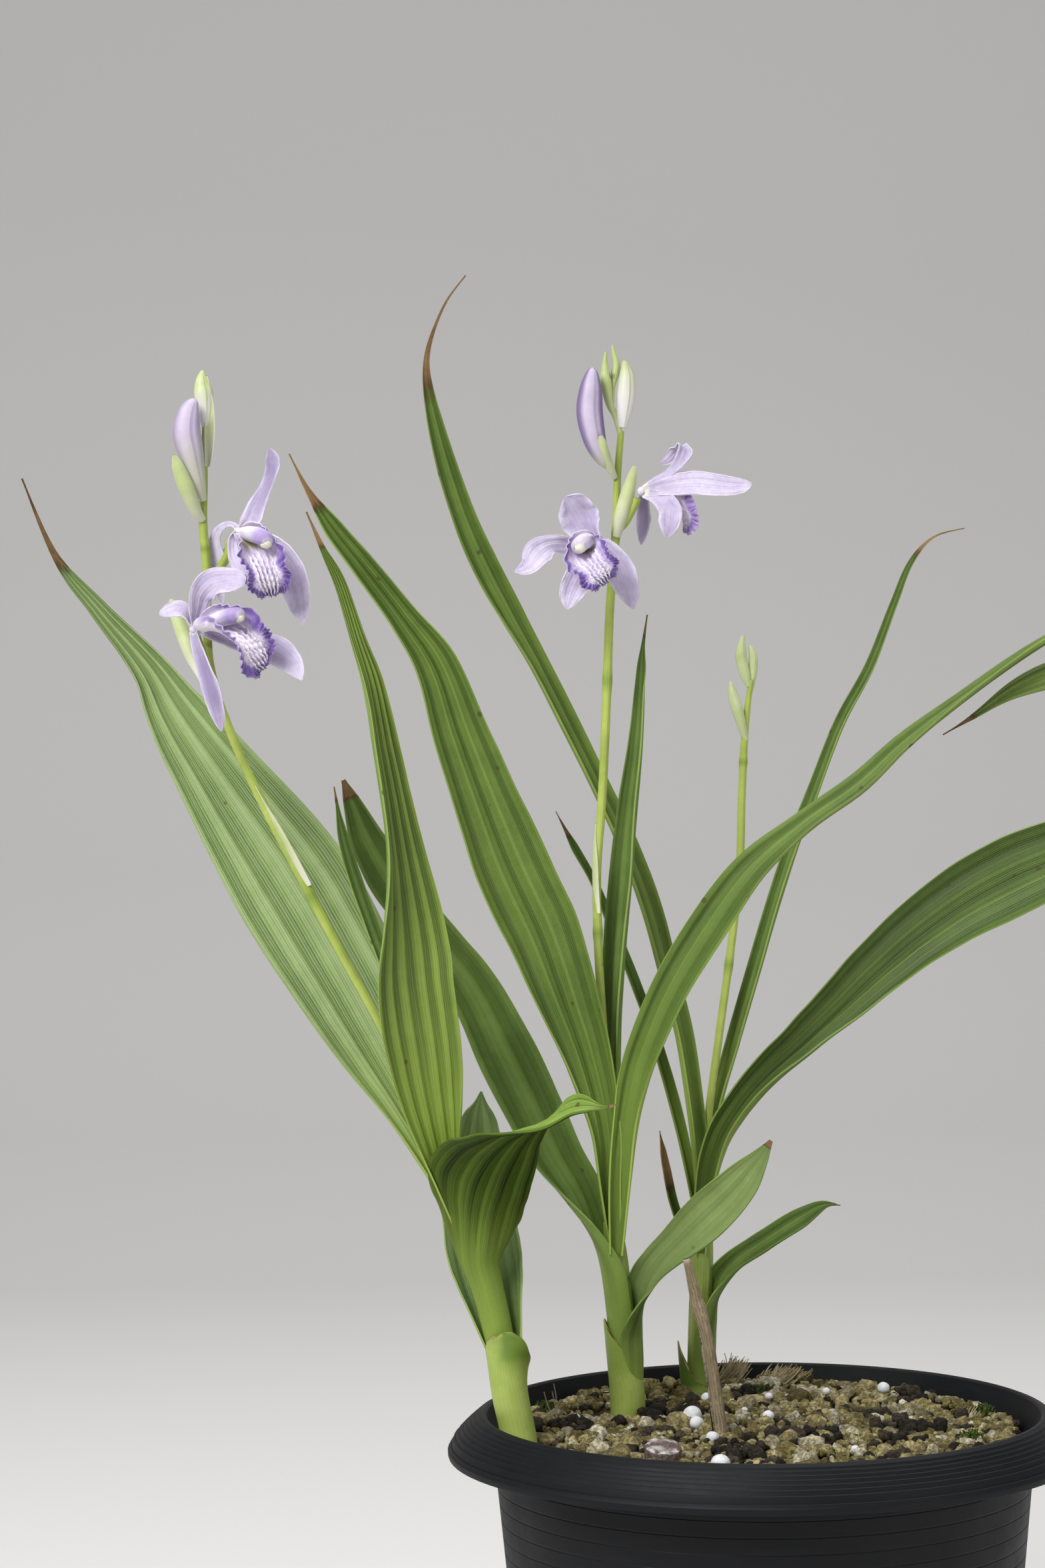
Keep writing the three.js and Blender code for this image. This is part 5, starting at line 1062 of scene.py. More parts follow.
def leafPiece(name, rows, pleats, skin, dry, waver):
    phase = len(name) * 1.7

    def folds(s):
        uneven = s + 0.05 * math.sin(4.3 * s + phase) * (1 - s * s)
        main = math.cos(math.pi * (uneven + 1) * pleats / 2)
        return main, math.cos(math.pi * (uneven + 1) * pleats * 1.5 + phase)

    def pleat(s, u):
        main, fine = folds(s)
        wave = 0.9 * abs(s) ** 2 * noise.noise(Vector((u * 9, s * 1.5, phase)))
        return foldHeights.get(name, 0.62) * (main + 0.3 * fine) + wave

    def margin(s, u):
        taper = tapers.get(name, 1) * (0.55 * smoothStep(u, 0.85, 0.95) + 0.38 * smoothStep(u, 0.94, 1))
        lean = lopsided.get(name, 0) * s * smoothStep(u, 0.3, 0.45) * (1 - smoothStep(u, 0.65, 0.8))
        return waver * noise.noise(Vector((u * 22, math.copysign(1, s) * 4, phase))) - taper + lean

    def paint(s, u):
        main, fine = folds(s)
        tip = smoothStep(u, 1 - dry * 1.6, 1 - dry * 0.5) if dry else 0
        rim = 0.3 * smoothStep(abs(s), 0.95, 1) * smoothStep(u, 0.5, 0.95)
        return {"dry": max(tip, rim),
                # pleat crests: paler rib colour with a painted highlight
                "crest": 0.6 * max(0, main) ** 4 + 0.4 * max(0, fine) ** 4,
                # painted shade in the pleat valleys
                "shade": max(0, -main) ** 2 * smoothStep(u, 0.02, 0.2)}

    bm = newForm()
    across, along = min(pleats * 9, 72), min(110, len(rows) * 8)
    addBlade(bm, rows, across, along, 0.55, ripple=pleat, edge=margin, paint=paint, skins=(0, 1))
    finishPiece(bm, name + "Blade", ["leaf" + skin + "Upper", "leaf" + skin + "Under"], "leaf", name)


for name, (pleats, rows) in leafRows.items():
    leafPiece(name, rows, pleats, *leafLooks[name])
print("leaves ready")


# ---- flower stalks with their bracts, ovaries and small buds ----
stalks = {
    "Left": [
      [-85.5, -7, 208, 1.3], [-94.5, -11, 234.6, 1.3], [-106.7, -14, 261.1, 1.3],
      [-118.2, -15, 283, 1.3], [-127.9, -15, 301.8, 1.4], [-141.6, -15, 329.2, 1.3],
      [-150.1, -15, 349.7, 1.25], [-153.2, -15, 361.1, 1.2], [-154.3, -14, 370.5, 1.2],
      [-154.5, -13, 391.4, 1.2], [-155.3, -13, 402.9, 1.2], [-155.1, -12, 413.1, 1.1],
      [-154.5, -12, 430.7, 0.9],
    ],
    "Centre": [
      [-41.4, 30.5, 196, 1.3], [-42.3, 31, 237.7, 1.3], [-43.9, 31, 265.2, 1.3],
      [-44.7, 30, 284.9, 1.3], [-44.7, 30, 304.4, 1.3], [-43, 30, 324, 1.3], [-41.3, 29, 353.4, 1.3],
      [-40, 29, 380.7, 1.3], [-38, 29, 402.2, 1.2], [-37.4, 29, 417.9, 1.1], [-36.1, 29, 432.2, 0.9],
    ],
    "Right": [
      [-12.8, 58.5, 196, 1.1], [-11.5, 60, 224.7, 1.2], [-8, 59, 250.9, 1.2], [-3.9, 58, 279.1, 1.2],
      [-1.1, 57, 303.3, 1.2], [-0.3, 56, 323.4, 1.2], [0.7, 55, 341.6, 1.1], [2, 55, 353.5, 0.9],
      [3, 55, 359.5, 0.7],
    ],
}
stalkNodes = {"Left": (0.32, 0.56, 0.68, 0.78), "Centre": (0.3, 0.62, 0.8), "Right": (0.35, 0.7)}
bracts = {
    "bractLeftBud": [
      [-155, -14.5, 404, 1.8, 190, 110], [-156.9, -17.5, 407, 2.7, 186, 95],
      [-159, -20.5, 412.4, 2.9, 184, 80], [-161.1, -21.5, 417.8, 2.1, 180, 60],
      [-162.4, -22, 422, 0.5, 180, 0],
    ],
    "bractLeftTop": [
      [-153.9, -13, 419.4, 1, 0, 80], [-153.2, -12.6, 424.5, 1.7, -12, 75],
      [-153, -12.6, 430.5, 1.9, -12, 70], [-153.2, -12.6, 436, 1.8, -12, 60],
      [-153.7, -12.6, 441, 1.2, -12, 50], [-154, -12.6, 445, 0.4, -12, 0],
    ],
    "bractLeftLow": [
      [-155.4, -15.6, 359.2, 1.8, 190, 110], [-158.8, -13.4, 366.1, 2.8, 186, 90],
      [-161.6, -11, 372.7, 2.7, 184, 80], [-163.9, -9.5, 378.8, 1.8, 182, 60],
      [-165.2, -8.5, 382.6, 0.4, 180, 0],
    ],
    "bractLeftUpper": [
      [-153.6, -11, 388.3, 1.6, -40, 100], [-151, -10, 391.4, 2.4, -40, 70],
      [-149.1, -10, 394.7, 1.8, -40, 60], [-147.9, -10, 398.5, 0.5, -40, 0],
    ],
    "bractCentre": [
      [-37.8, 27.2, 401, 2.2, 180, 120], [-36.5, 24.4, 406.6, 3.2, 180, 100],
      [-34.8, 23.6, 412.5, 2.9, 180, 85], [-33.2, 23.4, 418.3, 1.6, 180, 60],
      [-32.5, 23.4, 421.6, 0.4, 180, 0],
    ],
    "bractCentreBud": [
      [-37.8, 27.4, 418.2, 1.5, 190, 110], [-39.6, 24, 421.6, 2.2, 184, 100],
      [-41.4, 21, 426.2, 1.9, 180, 85], [-42.4, 19.8, 430.2, 0.5, 180, 0],
    ],
    "sheathScapeLeft": [
      [-127.5, -15, 300.9, 2.6, 90, 100], [-131.4, -16, 308.8, 2.7, 90, 100],
      [-136.4, -16, 318.8, 2.4, 90, 80], [-141.3, -16, 329.5, 0.5, 90, 0],
    ],
    "sheathScapeCentre": [
      [-45.4, 30, 290.7, 2.4, 90, 90], [-45.9, 30, 298.6, 2.6, 90, 90], [-45.8, 30, 308.4, 2.2, 90, 75],
      [-44.9, 30, 317.2, 0.5, 90, 0],
    ],
    "ovaryLeftUpper": [
      [-154.2, -13, 387.1, 0.9], [-151.4, -14, 389.6, 1.1], [-148.2, -16, 394.3, 1.3],
      [-147.3, -17.2, 397.4, 1.4], [-146.5, -17.9, 398.4, 1.3],
    ],
    "ovaryLeftLower": [
      [-152.8, -15, 360, 0.9], [-154, -17.5, 362.9, 1.1], [-155.4, -20.5, 367.5, 1.3],
      [-156.5, -21.4, 369.9, 1.4], [-156.8, -22.2, 371.3, 1.3],
    ],
    "ovaryCentreLeft": [
      [-38.5, 29, 396.4, 0.9], [-39.9, 26.5, 395.8, 1.1], [-40.4, 25.6, 396.4, 1.3],
      [-41.4, 23.9, 397.2, 1.4], [-42.3, 22, 398.1, 1.3],
    ],
    "ovaryCentreRight": [
      [-37.4, 28.5, 402.8, 0.9], [-35.3, 27, 405, 1.1], [-33.3, 26, 408.8, 1.3],
      [-32.2, 25.6, 411.2, 1.4], [-31.8, 25.3, 412.1, 1.3],
    ],
}
buds = {
    "budLeft": [
      [-155.1, -14.1, 409.8, 1], [-156.4, -16.6, 415.6, 2.1], [-158.1, -18, 422.7, 3.4],
      [-159.2, -18, 428.3, 3.7], [-158.6, -18, 433.9, 3], [-157.3, -17.5, 437.1, 1.6],
      [-156.9, -17.5, 438, 0.6],
    ],
    "budTopLeft": [
      [-154.5, -12, 430.7, 1], [-154.6, -12, 435.4, 2], [-154.9, -12, 440.1, 2.6],
      [-155.3, -12, 443.5, 1.8], [-155, -12, 446.5, 0.6],
    ],
    "budCentreLarge": [
      [-39.8, 26, 421.4, 1.1], [-41.8, 24.6, 424, 2.2], [-44.1, 23.5, 429.2, 3.2],
      [-45.5, 23.5, 437, 3.7], [-45.1, 23.5, 443.8, 3.2], [-44.6, 24, 448.7, 1.8],
      [-44.4, 24, 450.3, 0.6],
    ],
    "budCentreGreen": [
      [-35.7, 29, 433.2, 1.2], [-35.3, 29, 437, 2.1], [-34.6, 29, 442.3, 2.6], [-34.3, 29, 447.8, 2.2],
      [-34.7, 29, 451.5, 1.2], [-34.7, 29, 452.9, 0.5],
    ],
    "budCentreSmall": [
      [-36.3, 29, 431.2, 0.8], [-37.8, 29, 436.6, 0.9], [-39.5, 29, 440.6, 1.2],
      [-40.4, 29, 446.8, 1.7], [-40.6, 29, 452.2, 0.9], [-40.3, 29, 455.5, 0.4],
    ],
    "budCentreTop": [
      [-38.9, 29.2, 439.2, 0.8], [-38.4, 30, 445.3, 0.8], [-37.6, 31, 449.4, 1.3],
      [-37.2, 31, 451.8, 1.2], [-37.9, 31, 455.3, 0.7], [-38.3, 31, 457.7, 0.4],
    ],
    "budRightLow": [
      [1.1, 55, 341.4, 0.9], [-0.3, 54, 346.5, 1.5], [-1.7, 53.5, 351.5, 1.8], [-2.8, 53.5, 355.5, 1.4],
      [-3.4, 53.5, 359.1, 0.5],
    ],
    "budRightTop": [
      [2.3, 55, 357.5, 0.8], [1.1, 55, 361.1, 1.6], [-0, 55, 366.5, 1.8], [0.2, 55, 370.5, 1.2],
      [0.7, 55, 372.8, 0.5],
    ],
    "budRightSide": [
      [2.5, 56, 355.5, 0.8], [3.4, 56, 361.5, 1.4], [3.7, 56, 366.5, 1.3], [2.7, 56, 370, 0.5],
    ],
}
stalkParts = {
    "Left": (("bractLeftBud", "bractLeftTop", "bractLeftLow", "bractLeftUpper", "sheathScapeLeft"),
             ("ovaryLeftUpper", "ovaryLeftLower")),
    "Centre": (("bractCentre", "bractCentreBud", "sheathScapeCentre"),
               ("ovaryCentreLeft", "ovaryCentreRight", "budCentreSmall", "budCentreTop")),
    "Right": ((), ("budRightLow", "budRightTop", "budRightSide")),
}


def stalkPiece(name):
    def node(turn, u):
        rings = sum(math.exp(-((u - at) * 90) ** 2) for at in stalkNodes[name])
        return 0.16 * rings + 0.02 * math.cos(turn * 5)

    def paintNodes(turn, u):
        return {"shade": 0.55 * max(math.exp(-((u - at) * 120) ** 2) for at in stalkNodes[name])}

    def paintBract(s, u):
        return {"shade": 0.3 * smoothStep(abs(s), 0.6, 1) + 0.7 * (1 - smoothStep(u, 0, 0.6)),
                "dry": 0.5 * smoothStep(u, 0.97, 1)}

    blades, rods = stalkParts[name]
    bm = newForm()
    addRod(bm, stalks[name], 24, 180, swell=node, paint=paintNodes)
    for key in rods:
        rows = buds.get(key) or bracts[key]
        skin = 2 if key.startswith("bud") else 0
        addRod(bm, rows, 20, 26, swell=ribbed(6, 0.07 if skin == 0 else 0.04), skin=skin)
    for key in blades:
        addBlade(bm, bracts[key], 20, 24, 0.45, ripple=lambda s, u: 0.06 * math.cos(s * 14),
                 paint=paintBract, skins=(1, 1))
    finishPiece(bm, "stalk" + name, ["scapeSkin", "bractSkin", "budGreenSkin"], "scape", "scape" + name)


def budPiece(name, skin, base, dark):
    def paint(turn, u):
        seam = math.exp(-((turn - 0.45) * 11) ** 2) * math.sin(math.pi * u)
        sides = smoothStep(abs(math.sin(turn - 0.1)), 0.42, 0.85) * smoothStep(u, 0.1, 0.35)
        return {"shade": 1 - smoothStep(u, base * 0.3, base * 1.6),
                "crest": min(1, 0.7 * seam + dark * sides)}

    bm = newForm()
    addRod(bm, buds[name], 48, 48, paint=paint, skin=skin,
           swell=lambda turn, u: 0.09 * abs(math.cos((turn - 0.45) * 1.5 + 1.57)) * math.sin(math.pi * u))
    finishPiece(bm, name + "Skin", ["budSkin", "budGreenSkin"], "tepal", name)


for name in stalkParts:
    stalkPiece(name)
# skin, length that stays pale at the base, and how dark the sides are
budLooks = {
    "budLeft": (0, 0.35, 0.2), "budTopLeft": (1, 0.45, 0), "budCentreLarge": (0, 0.22, 0.85),
    "budCentreGreen": (1, 0.62, 0),
}
for name, look in budLooks.items():
    budPiece(name, *look)
print("flower stalks ready")


# ---- blooms ----
blooms = {
    "LeftUpper": {
      "hub": [-144.8, -19.5, 400.4],
      "dorsal": [
        [-144.1, -19.5, 400.6, 1.6, -10, 60], [-141.5, -19, 403.2, 3.1, -15, 30],
        [-139.5, -18, 407.7, 3, -25, 28], [-136.8, -17.5, 412.8, 2.6, -38, 30],
        [-135.2, -18, 417.2, 2.6, -38, 34], [-135.1, -19, 420.8, 2.1, -20, 24],
        [-136.1, -20, 423.7, 0.6, 0, 0],
      ],
      "petalLeft": [
        [-144.9, -19, 400.6, 1.3, 40, 60], [-146.5, -17.5, 402.4, 1.1, 50, 40],
        [-149.1, -15, 402.3, 1.5, 44, 30], [-151.4, -12.5, 399.9, 2.1, 38, 30],
        [-152, -11, 395.5, 2.7, 30, 26], [-151, -10.5, 390.2, 2.8, 26, 24],
        [-150.7, -10.5, 384.9, 1.8, 44, 20], [-150.3, -10.5, 380.2, 0.6, 30, 0],
      ],
      "sepalLeft": [
        [-145.3, -21, 400.1, 1.2, -30, 50], [-146.2, -24, 397.5, 1.4, -24, 40],
        [-145.7, -27, 393.5, 1.7, -14, 35], [-144, -29.5, 389.9, 2, -4, 28],
        [-141.4, -31, 387.2, 2.2, 10, 20], [-138.6, -31.5, 385, 1.1, 14, 0],
      ],
      "sepalRight": [
        [-144, -18.5, 399.9, 1.6, 10, 60], [-138.3, -17.5, 397.8, 3.2, 12, 30],
        [-133.1, -18, 393.3, 4.3, 18, 25], [-129.7, -19, 387.2, 4.6, 22, 25],
        [-128.1, -20, 380.4, 3.4, 18, 20], [-127, -21, 374, 0.6, 10, 0],
      ],
      "lip": [
        [-143.8, -20.5, 399.8, 2.6, -10, 110], [-140.9, -25, 397.4, 7.2, -14, 120],
        [-138.6, -29, 393.7, 8.2, -14, 100], [-137, -31.5, 389.9, 7.6, -10, 58],
        [-135.9, -32, 386.5, 6.8, -8, 24], [-135.3, -30.5, 383.8, 5.2, -6, 1],
        [-135.1, -28, 382.1, 3.2, -6, 1],
      ],
      "column": [
        [-143.4, -21, 400, 1.5], [-141, -26, 399.3, 2.2], [-138.3, -30.5, 398.4, 2.5],
        [-136.4, -33.5, 397.2, 2.4], [-135.6, -34.8, 396.2, 1.2],
      ],
    },
    "LeftLower": {
      "hub": [-157.2, -24, 373.3],
      "dorsal": [
        [-157, -24, 374.2, 1.4, 20, 60], [-156, -26, 378.6, 2.6, 24, 35], [-154.6, -28, 382.6, 3.7, 16, 28],
        [-151.4, -30, 385.3, 4.3, -10, 25], [-147.4, -32, 386, 3.9, -24, 22],
        [-144.4, -33, 386, 3.4, -30, 15], [-141.9, -33.5, 385.8, 2.4, -30, 0],
      ],
      "petalLeft": [
        [-158, -24, 374.3, 1.4, 60, 60], [-159, -24.5, 377, 2.2, 50, 30], [-161.1, -25, 378.7, 2.7, 30, 25],
        [-164.1, -25.5, 378.2, 1.9, 20, 20], [-166.6, -26, 377.2, 0.6, 20, 0],
      ],
      "sepalLow": [
        [-157.2, -24, 372.6, 1.4, 20, 60], [-155.9, -27, 368, 2, 34, 35], [-153.6, -29, 361.6, 2.7, 34, 30],
        [-151.5, -30, 354.7, 3, 28, 25], [-150.2, -29, 348.8, 2, 10, 20], [-149.6, -28, 344.6, 0.6, 0, 0],
      ],
      "sepalRight": [
        [-156.3, -22.5, 373.2, 1.5, -20, 60], [-147.6, -21.5, 370.3, 2.6, -20, 35],
        [-139.4, -22.5, 368.5, 3.8, -20, 25], [-133.8, -24, 366.2, 4.4, -15, 25],
        [-129.6, -25, 362.6, 3, -10, 20], [-127.2, -26, 358.6, 0.6, 0, 0],
      ],
      "lip": [
        [-155.8, -25.5, 373.2, 2.6, -50, 110], [-152.1, -29, 373.2, 7, -50, 125],
        [-147.7, -33, 372.4, 8.8, -52, 112], [-143.5, -35.5, 370.3, 9.2, -50, 66],
        [-140.4, -36, 367.3, 8.6, -45, 26], [-138.2, -34.5, 364, 6.8, -40, 1],
        [-137.1, -32.5, 362, 4, -38, 1],
      ],
      "column": [
        [-154.7, -25.5, 373.8, 1.5], [-150.9, -30, 375, 2.2], [-147.1, -34, 375.9, 2.5],
        [-144.1, -37, 376.3, 2.3], [-142.9, -38.2, 376.2, 1.2],
      ],
    },
    "CentreLeft": {
      "hub": [-43, 20, 398.9],
      "dorsal": [
        [-43.9, 20, 399.3, 2.2, 0, 50], [-46.8, 21, 402.7, 4.8, 0, 25], [-49, 21.5, 406.7, 6, 0, 16],
        [-51, 20, 410.1, 4.6, -6, 12], [-52.9, 18.5, 412.1, 1.4, -10, 0],
      ],
      "petalLeft": [
        [-43.4, 19.4, 398.9, 1.6, 0, 50], [-51.2, 15, 398.1, 2.6, -10, 25], [-57, 12, 398, 2.8, -5, 20],
        [-60.9, 10, 395.6, 4.2, 10, 20], [-63.8, 9, 391.7, 2.8, 16, 15], [-67.9, 8.5, 390, 0.6, 0, 0],
      ],
      "sepalRight": [
        [-42.6, 20, 398.7, 1.5, 10, 50], [-40.5, 17.5, 396.8, 2.8, 20, 30],
        [-37.5, 15.5, 391.4, 4.4, 15, 22], [-35.1, 14.5, 385, 3.6, 10, 20], [-33.5, 14.5, 379.1, 0.7, 0, 0],
      ],
      "sepalLow": [
        [-43.6, 19, 398.5, 1.6, -10, 50], [-47, 14.5, 393, 2.6, -20, 30], [-49.8, 12, 387.9, 4, -10, 22],
        [-51.8, 11.5, 383.3, 3.4, 0, 20], [-52.8, 11.5, 379.2, 0.8, 0, 0],
      ],
      "lip": [
        [-44.4, 17.5, 398.4, 2.8, 16, 110], [-46.8, 11.5, 396.5, 7, 14, 120],
        [-46.9, 6, 394, 8.2, 8, 96], [-45.2, 2.5, 391.3, 7.8, 0, 54], [-43.6, 1, 389, 7, -6, 20],
        [-42.5, 1.5, 387.4, 5.2, -8, 1], [-41.8, 3.5, 386.3, 3.2, -8, 1],
      ],
      "column": [
        [-45, 17, 398.9, 1.5], [-46.8, 11.5, 398.6, 2.1], [-48, 6.5, 398.1, 2.5], [-48.9, 3, 397.4, 2.4],
        [-49.2, 1.6, 396.8, 1.2],
      ],
    },
    "CentreRight": {
      "hub": [-30.4, 25, 414.1],
      "dorsal": [
        [-29.8, 25, 414.7, 1.5, -60, 50], [-26.4, 25, 416.8, 2, -60, 40],
        [-22.5, 25.5, 419.2, 1.6, -50, 30], [-19.5, 26, 421.9, 2, -36, 30],
        [-17.7, 27, 425.6, 2.4, 10, 30], [-18.3, 29, 427.6, 2.3, 80, 26], [-20.2, 31, 426.2, 2, 150, 20],
        [-22.3, 31.5, 423.9, 1.5, 180, 15], [-24.6, 31, 422.6, 0.7, 180, 0],
      ],
      "petalNear": [
        [-29.5, 23.5, 413.8, 1.5, -15, 50], [-23.4, 19, 414.9, 2.8, -15, 25],
        [-15.4, 16, 415.5, 3.5, -10, 20], [-7.2, 14, 414.5, 3, -5, 20], [-2.1, 13, 414.3, 2.1, 0, 10],
        [1, 12.5, 414.8, 0.6, 0, 0],
      ],
      "petalFar": [
        [-29.3, 26.5, 414.5, 1.5, -20, 50], [-23.6, 32, 416.8, 2.9, -20, 25],
        [-16.3, 37, 417.9, 3.3, -15, 20], [-9, 41, 417.2, 2.9, -10, 20], [-3.3, 44, 415.8, 0.6, 0, 0],
      ],
      "sepalNear": [
        [-29.3, 23.5, 413.4, 1.5, -10, 50], [-25.4, 19, 411.4, 2.6, -15, 30],
        [-22.6, 16, 408.1, 3.3, 10, 25], [-22.9, 15, 403.8, 3.1, 10, 20], [-23.8, 15, 399.9, 0.7, 0, 0],
      ],
      "sepalFar": [
        [-29.8, 26, 413.6, 1.4, 10, 50], [-29.6, 31, 410.5, 1.9, 20, 30], [-29.6, 33.5, 405.4, 2.2, 20, 25],
        [-30.4, 34, 399.2, 0.6, 10, 0],
      ],
      "lip": [
        [-28.2, 25, 413.3, 2.8, -90, 110], [-24.9, 24.5, 412.2, 6.8, -90, 116],
        [-21.6, 23.5, 410.8, 8.4, -90, 102], [-19.2, 22.8, 408.6, 8.4, -90, 84],
        [-18.1, 22.4, 406, 7.8, -92, 64], [-17.7, 22.4, 403.6, 6.2, -94, 42],
        [-17.6, 22.8, 401.7, 3.8, -96, 20],
      ],
      "column": [
        [-28.2, 25, 414.1, 1.5], [-24.9, 25, 414.4, 2], [-21.6, 25, 413.8, 2.2], [-18.9, 25, 412.8, 2.1],
        [-17.9, 25, 412.6, 1],
      ],
    },
}
# how dark the colour is inside each tepal, partly its deeper colour and partly painted shade (the far sepal
# of CentreRight hangs in shade): base, middle, tip
tepalDepthAndShade = {
    "LeftUpper": {"dorsal": (0.3, 0.7, 0.5), "petalLeft": (0.2, 0.1, 0.2), "sepalLeft": (0.3, 0.15, 0),
                  "sepalRight": (0.6, 0.35, 0.05)},
    "LeftLower": {"dorsal": (0.2, 0.3, 0.25), "petalLeft": (0.4, 0.1, 0), "sepalLow": (0.6, 0.85, 0.35),
                  "sepalRight": (0.7, 0.55, 0.05)},
    "CentreLeft": {"dorsal": (0.6, 0.35, 0.1), "petalLeft": (0.4, 0.15, 0), "sepalRight": (0.5, 0.3, 0.15),
                   "sepalLow": (0.6, 0.25, 0.1)},
    "CentreRight": {"dorsal": (0.3, 0.4, 0.3), "petalNear": (0.25, 0.06, 0), "petalFar": (0.3, 0.1, 0),
                    "sepalNear": (0.1, 0.35, 0.5), "sepalFar": (0.9, 0.8, 0.6)},
}
lipForm = {"frill": 0.75, "crisp": 0.5, "ridge": 0.6, "ridges": 5}


def tepalPiece(name, bloom):
    bm = newForm()
    addBall(bm, bloom["hub"], 1.35, rough=0.1, skin=1)
    for part, (low, middle, high) in tepalDepthAndShade[name].items():
        rows = bloom[part]
        phase = len(part) * 2.1 + len(name)

        def paint(s, u, low=low, middle=middle, high=high):
            # painted depth along the tepal: deeper colour and painted shade
            depth = low + (middle - low) * smoothStep(u, 0.1, 0.45)
            depth += (high - middle) * smoothStep(u, 0.6, 0.95)
            return {"shade": depth * (1 - 0.75 * abs(s) ** 3), "dry": 0.62 * (1 - smoothStep(u, 0.03, 0.14))}

        addBlade(bm, rows, 22, 44, 0.42,
                 ripple=lambda s, u, phase=phase: 0.18 * math.cos(s * math.pi * 3) + 1.6 * abs(s) ** 2
                 * noise.noise(Vector((u * 6, s * 2, phase))),
                 edge=lambda s, u, phase=phase: 0.06 * noise.noise(Vector((u * 16, s * 3, phase)))
                 - 0.5 * smoothStep(u, 0.9, 1),
                 paint=paint, skins=(0, 1))
    finishPiece(bm, "bloomTepals" + name, ["petalInner", "petalOuter"], "tepal", "tepals" + name)


def columnPiece(name, rows):
    bm = newForm()
    depth = 0.3 if name == "CentreLeft" else 0.85
    addRod(bm, rows, 32, 36, swell=lambda turn, u: 0.22 * math.cos(turn * 2) * math.sin(math.pi * u) + 0.12,
           paint=lambda turn, u: {"shade": depth * (smoothStep(u, 0.4, 0.75) - 0.6 * smoothStep(u, 0.9, 1))})
    x, y, z, radius = rows[-2]
    ahead = (Vector(rows[-1][:3]) - Vector(rows[-2][:3])).normalized()
    spot = Vector((x, y, z - radius * 0.35)) + ahead * 0.5
    addBall(bm, spot, radius * 0.72, (1, 0.9, 0.8), rough=0.15, skin=1)
    # a small dark ball beside the anther: painted shadow in the slit
    slitShadow = spot + Vector((-radius * 0.62, -0.1, 0.1))
    addBall(bm, slitShadow, radius * 0.22, (0.6, 1, 1.3), skin=1, mark={"shade": 1})
    finishPiece(bm, "bloomColumn" + name, ["columnSkin", "antherSkin"], "column", "column" + name)


def lipPiece(name, rows):
    phase = len(name) * 1.3

    def rimAt(s, u):
        # how near the margin a point is, and how far round the margin it lies
        v = (u - 0.6) / 0.4
        if v < 0:
            return abs(s), math.copysign(1, s) * (-v * 0.9)
        return (s ** 4 + v ** 4) ** 0.25, math.copysign(1, s) * math.atan2(v, abs(s) + 0.001)

    def crinkle(around):
        return around * 46 + 1.8 * math.sin(around * 7 + phase)

    def frill(s, u):
        near, around = rimAt(s, u)
        opening = smoothStep(u, 0.12, 0.4)
        wave = lipForm["frill"] * smoothStep(near, 0.6, 1) * math.cos(around * 9 + phase)
        crisp = lipForm["crisp"] * smoothStep(near, 0.6, 0.9) * math.cos(crinkle(around) + near * 7)
        ridge = 0
        if abs(s) < 0.5:
            wobble = 0.014 * math.sin(u * 62 + s * 7)
            ridge = lipForm["ridge"] * math.cos(lipForm["ridges"] * 2 * math.pi * (s + wobble))
            ridge *= 1 + 0.3 * math.sin(u * 88 + math.floor(s * 5 + 0.5) * 2.4)
            ridge *= smoothStep(0.5 - abs(s), 0, 0.12)
            ridge *= smoothStep(u, 0.25, 0.5) * (1 - smoothStep(u, 0.9, 0.99))
        return opening * (wave + crisp + ridge)

    def paint(s, u):
        near = rimAt(s, u)[0]
        wobble = 0.014 * math.sin(u * 62 + s * 7)
        ridge = max(0, math.cos(lipForm["ridges"] * 2 * math.pi * (s + wobble))) ** 1.5 if abs(s) < 0.5 else 0
        patchy = 0.16 * noise.noise(Vector((s * 5, u * 9, phase)))
        violet = smoothStep(u, 0.34, 0.52) * smoothStep(near + patchy, 0.46, 0.74)
        violet = max(violet, smoothStep(u, 0.14, 0.3) * smoothStep(near + patchy, 0.7, 0.9))
        pale = 0.35 * smoothStep(near, 0.95, 1)
        dots = smoothStep(noise.noise(Vector((s * 26, u * 40, phase))), 0.05, 0.3)
        speckled = 0.4 * dots * smoothStep(u, 0.35, 0.5)
        return {"shade": min(1, violet * (1 - pale) + speckled),
                "crest": ridge * smoothStep(u, 0.3, 0.45) * (1 - smoothStep(u, 0.9, 0.98)),
                "dry": 0.6 * (1 - smoothStep(u, 0.2, 0.45)) * smoothStep(1 - abs(s), 0.2, 0.7)}

    def edge(s, u):
        waist = 0.16 * math.exp(-((u - 0.56) * 11) ** 2)
        return 0.04 * math.cos(crinkle(rimAt(s, u)[1])) * smoothStep(u, 0.35, 0.6) - waist

    bm = newForm()
    addBlade(bm, rows, 84, 110, 0.3, ripple=frill, edge=edge, paint=paint, skins=(0, 1),
             calm=(125, 140))
    finishPiece(bm, "bloomLip" + name, ["lipInner", "lipOuter"], "lip", "lip" + name)


for name, bloom in blooms.items():
    tepalPiece(name, bloom)
    columnPiece(name, bloom["column"])
    lipPiece(name, bloom["lip"])
print("blooms ready")


# ---- old stalk of last year's shoot ----
oldStalkRows = [
    [-11.6, 2, 122, 1.8], [-11.8, 2, 142.8, 1.9], [-15.3, 2, 168.9, 1.9], [-17.6, 3, 178.1, 2.1],
    [-19.6, 3, 186.6, 1.5], [-21, 3, 192.7, 1.2],
]


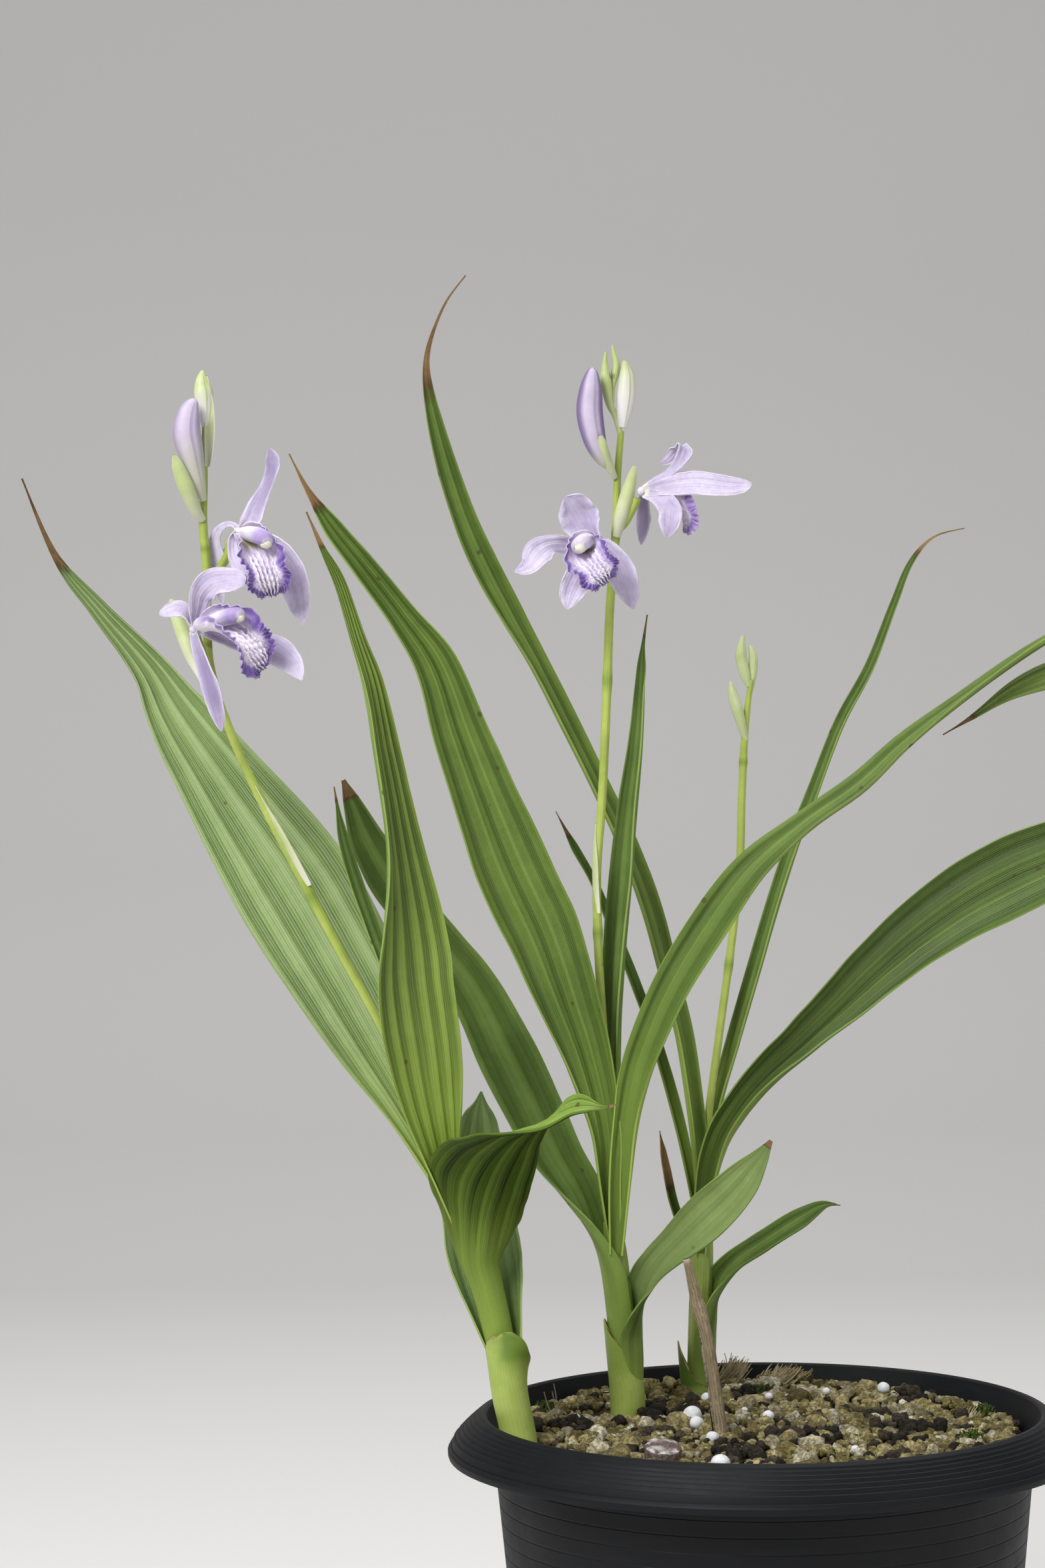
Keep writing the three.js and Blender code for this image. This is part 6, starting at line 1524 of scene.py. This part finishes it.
def oldStalkPiece():
    bm = newForm()

    def ragged(turn, u):
        ring = 0.12 * math.exp(-((u - 0.62) * 34) ** 2)
        return 0.05 * math.cos(turn * 7 + u * 5) + ring + 0.07 * noise.noise(Vector((turn, u * 14, 2))) - 0.1

    addRod(bm, oldStalkRows, 26, 60, swell=ragged, paint=lambda turn, u: {"shade": smoothStep(u, 0.93, 0.99)})
    finishPiece(bm, "oldStalkRod", ["oldStalkSkin"], "stalk_old", "oldStalk")


oldStalkPiece()


# ---- studio ----
studio = {
    "camera": (-0.0663, -0.9886, 0.329), "roll": 0.69, "lens": 79.59,
    "floor": (0.78, 0.77, 0.75), "world": (0.97, 0.98, 1.0), "worldStrength": 0.3,
    "lights": [
        ("keyLight", (-0.7, -0.9, 1.15), 0.6, 21), ("fillLight", (1.0, -0.8, 0.5), 1.2, 4),
        ("topLight", (0.1, 0.4, 1.4), 1.2, 9),
    ],
    "aim": (-0.03, 0, 0.28), "halfWidth": 3,
    "sweep": [(-2.2, 0), (1.3, 0), (1.65, 0.06), (1.92, 0.25), (2.06, 0.55), (2.1, 0.9), (2.1, 3)],
}


def studioFloor():
    bm = bmesh.new()
    chain = [bm.verts.new((-studio["halfWidth"], y, z)) for y, z in studio["sweep"]]
    edges = [bm.edges.new(pair) for pair in zip(chain, chain[1:])]
    made = bmesh.ops.extrude_edge_only(bm, edges=edges)["geom"]
    moved = [v for v in made if isinstance(v, bmesh.types.BMVert)]
    bmesh.ops.translate(bm, verts=moved, vec=(2 * studio["halfWidth"], 0, 0))
    bmesh.ops.recalc_face_normals(bm, faces=bm.faces)
    floor = addObject(bm, "studioFloor")
    finish, _ = newFinish("studioPaper", 0.9, {"Base Color": (*studio["floor"], 1)})
    floor.data.materials.append(finish)


def studioLights():
    for name, place, size, power in studio["lights"]:
        lamp = bpy.data.lights.new(name, "AREA")
        lamp.size, lamp.energy = size, power
        holder = bpy.data.objects.new(name, lamp)
        holder.location = place
        aim = Vector(studio["aim"]) - Vector(place)
        holder.rotation_euler = aim.to_track_quat("-Z", "Y").to_euler()
        bpy.context.scene.collection.objects.link(holder)
    world = bpy.data.worlds.new("studioAir")
    world.use_nodes = True
    colour, strength = world.node_tree.nodes["Background"].inputs[:2]
    colour.default_value, strength.default_value = (*studio["world"], 1), studio["worldStrength"]
    bpy.context.scene.world = world
    bpy.context.scene.view_settings.view_transform = "Standard"


def studioCamera():
    lens = bpy.data.cameras.new("camera")
    lens.lens, lens.sensor_width, lens.sensor_fit = studio["lens"], 36, "AUTO"
    camera = bpy.data.objects.new("camera", lens)
    camera.location = studio["camera"]
    camera.rotation_euler = (math.radians(90), math.radians(studio["roll"]), 0)
    bpy.context.scene.collection.objects.link(camera)
    bpy.context.scene.camera = camera


studioFloor()
studioLights()
studioCamera()
print("studio ready")
